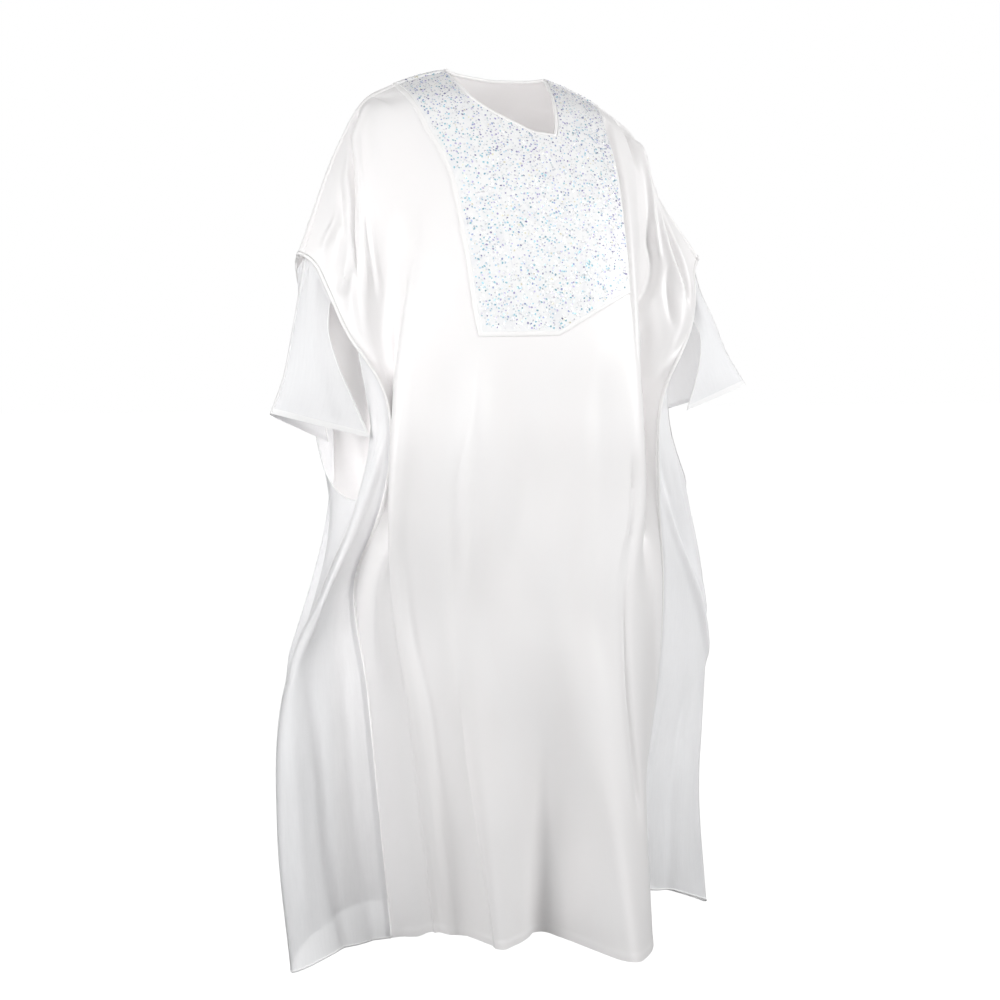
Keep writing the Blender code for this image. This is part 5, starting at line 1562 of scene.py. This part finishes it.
# name, place, what it points at, size, watts
SOFTBOXES = (
    ("left_softbox", (-2.2, -1.1, -0.2), (0.0, 0.0, -0.5), (1.0, 1.4), 27.0),
    ("right_softbox", (2.1, -1.6, 0.1), (0.1, 0.0, -0.30), (1.0, 1.2), 37.0),
    ("back_softbox", (1.0, 2.2, 0.2), (0.0, 0.0, -0.55), (1.2, 1.4), 30.0),
    ("front_softbox", (-0.5, -1.35, -0.20), (0.0, -0.10, -0.33), (1.1, 0.9), 4.6))
# Weak lamps inside the robe stand for the light that white cloth lets through.
INNER_GLOW_HEIGHTS = (-0.66, -0.92, -1.18)
INNER_GLOW_RADIUS = 0.07
INNER_GLOW_WATTS = 0.8
CAMERA_PLACE = (-1.46047, -2.73442, -0.489)
CAMERA_TURN = math.radians(28.0)
CAMERA_PITCH = math.atan(130.0 / 1875.0)
CAMERA_LENS = 67.5


def add_floor():
    """A dull floor that only the camera sees as white, so that it melts into the background."""
    mesh = bpy.data.meshes.new("studio_floor")
    corners = [(x * FLOOR_REACH, y * FLOOR_REACH, FLOOR_HEIGHT)
               for x, y in ((-1, -1), (1, -1), (1, 1), (-1, 1))]
    mesh.from_pydata(corners, [], [(0, 1, 2, 3)])
    made = Nodes("pale_floor", Base_Color=(FLOOR_GREY, FLOOR_GREY, FLOOR_GREY, 1.0),
                 Roughness=0.9, Specular_IOR_Level=0.0, Emission_Color=(1.0, 1.0, 1.0, 1.0))
    rays = made.node("ShaderNodeLightPath")
    made.feed(rays.outputs["Is Camera Ray"], "Emission Strength")
    mesh.materials.append(made.material)
    linked("studio_floor", mesh)


def add_world():
    """A white studio, bright at the horizon and duller above; the camera sees plain white."""
    world = bpy.data.worlds.new("studio")
    bpy.context.scene.world = world
    world.use_nodes = True
    tree = world.node_tree
    background = tree.nodes["Background"]
    where, parts, ramp, seen, rays, mix = [tree.nodes.new("ShaderNode" + kind) for kind in (
        "TexCoord", "SeparateXYZ", "ValToRGB", "Background", "LightPath", "MixShader")]
    for element, (height, grey) in zip(ramp.color_ramp.elements, (HORIZON, ZENITH)):
        element.position = height
        element.color = (grey, grey, grey, 1.0)
    background.inputs["Strength"].default_value = SKY_STRENGTH
    seen.inputs["Color"].default_value = (1.0, 1.0, 1.0, 1.0)
    seen.inputs["Strength"].default_value = 1.0
    for source, target in (
            (where.outputs["Generated"], parts.inputs["Vector"]),
            (parts.outputs["Z"], ramp.inputs["Fac"]),
            (ramp.outputs["Color"], background.inputs["Color"]),
            (rays.outputs["Is Camera Ray"], mix.inputs["Fac"]),
            (background.outputs["Background"], mix.inputs[1]),
            (seen.outputs["Background"], mix.inputs[2]),
            (mix.outputs["Shader"], tree.nodes["World Output"].inputs["Surface"])):
        tree.links.new(source, target)


def add_lamp(name, kind, place, watts):
    light = bpy.data.lights.new(name, kind)
    light.energy = watts
    lamp = linked(name, light, place)
    lamp.visible_camera = False
    return lamp


def add_lamps():
    for name, place, target, (width, height), watts in SOFTBOXES:
        lamp = add_lamp(name, "AREA", place, watts)
        lamp.data.shape = "RECTANGLE"
        lamp.data.size = width
        lamp.data.size_y = height
        aim = Vector(target) - Vector(place)
        lamp.rotation_euler = aim.to_track_quat("-Z", "Y").to_euler()
    for height in INNER_GLOW_HEIGHTS:
        lamp = add_lamp("inner_glow", "POINT", (0.0, -0.01, height), INNER_GLOW_WATTS)
        lamp.data.shadow_soft_size = INNER_GLOW_RADIUS


def add_camera():
    camera = bpy.data.cameras.new("camera")
    camera.lens = CAMERA_LENS
    camera.sensor_width = 36.0
    thing = linked("camera", camera, CAMERA_PLACE)
    ahead = Vector((math.sin(CAMERA_TURN) * math.cos(CAMERA_PITCH),
                    math.cos(CAMERA_TURN) * math.cos(CAMERA_PITCH), -math.sin(CAMERA_PITCH)))
    thing.rotation_euler = ahead.to_track_quat("-Z", "Y").to_euler()
    bpy.context.scene.camera = thing


add_floor()
add_world()
add_lamps()
add_camera()
bpy.context.scene.view_settings.view_transform = "Standard"
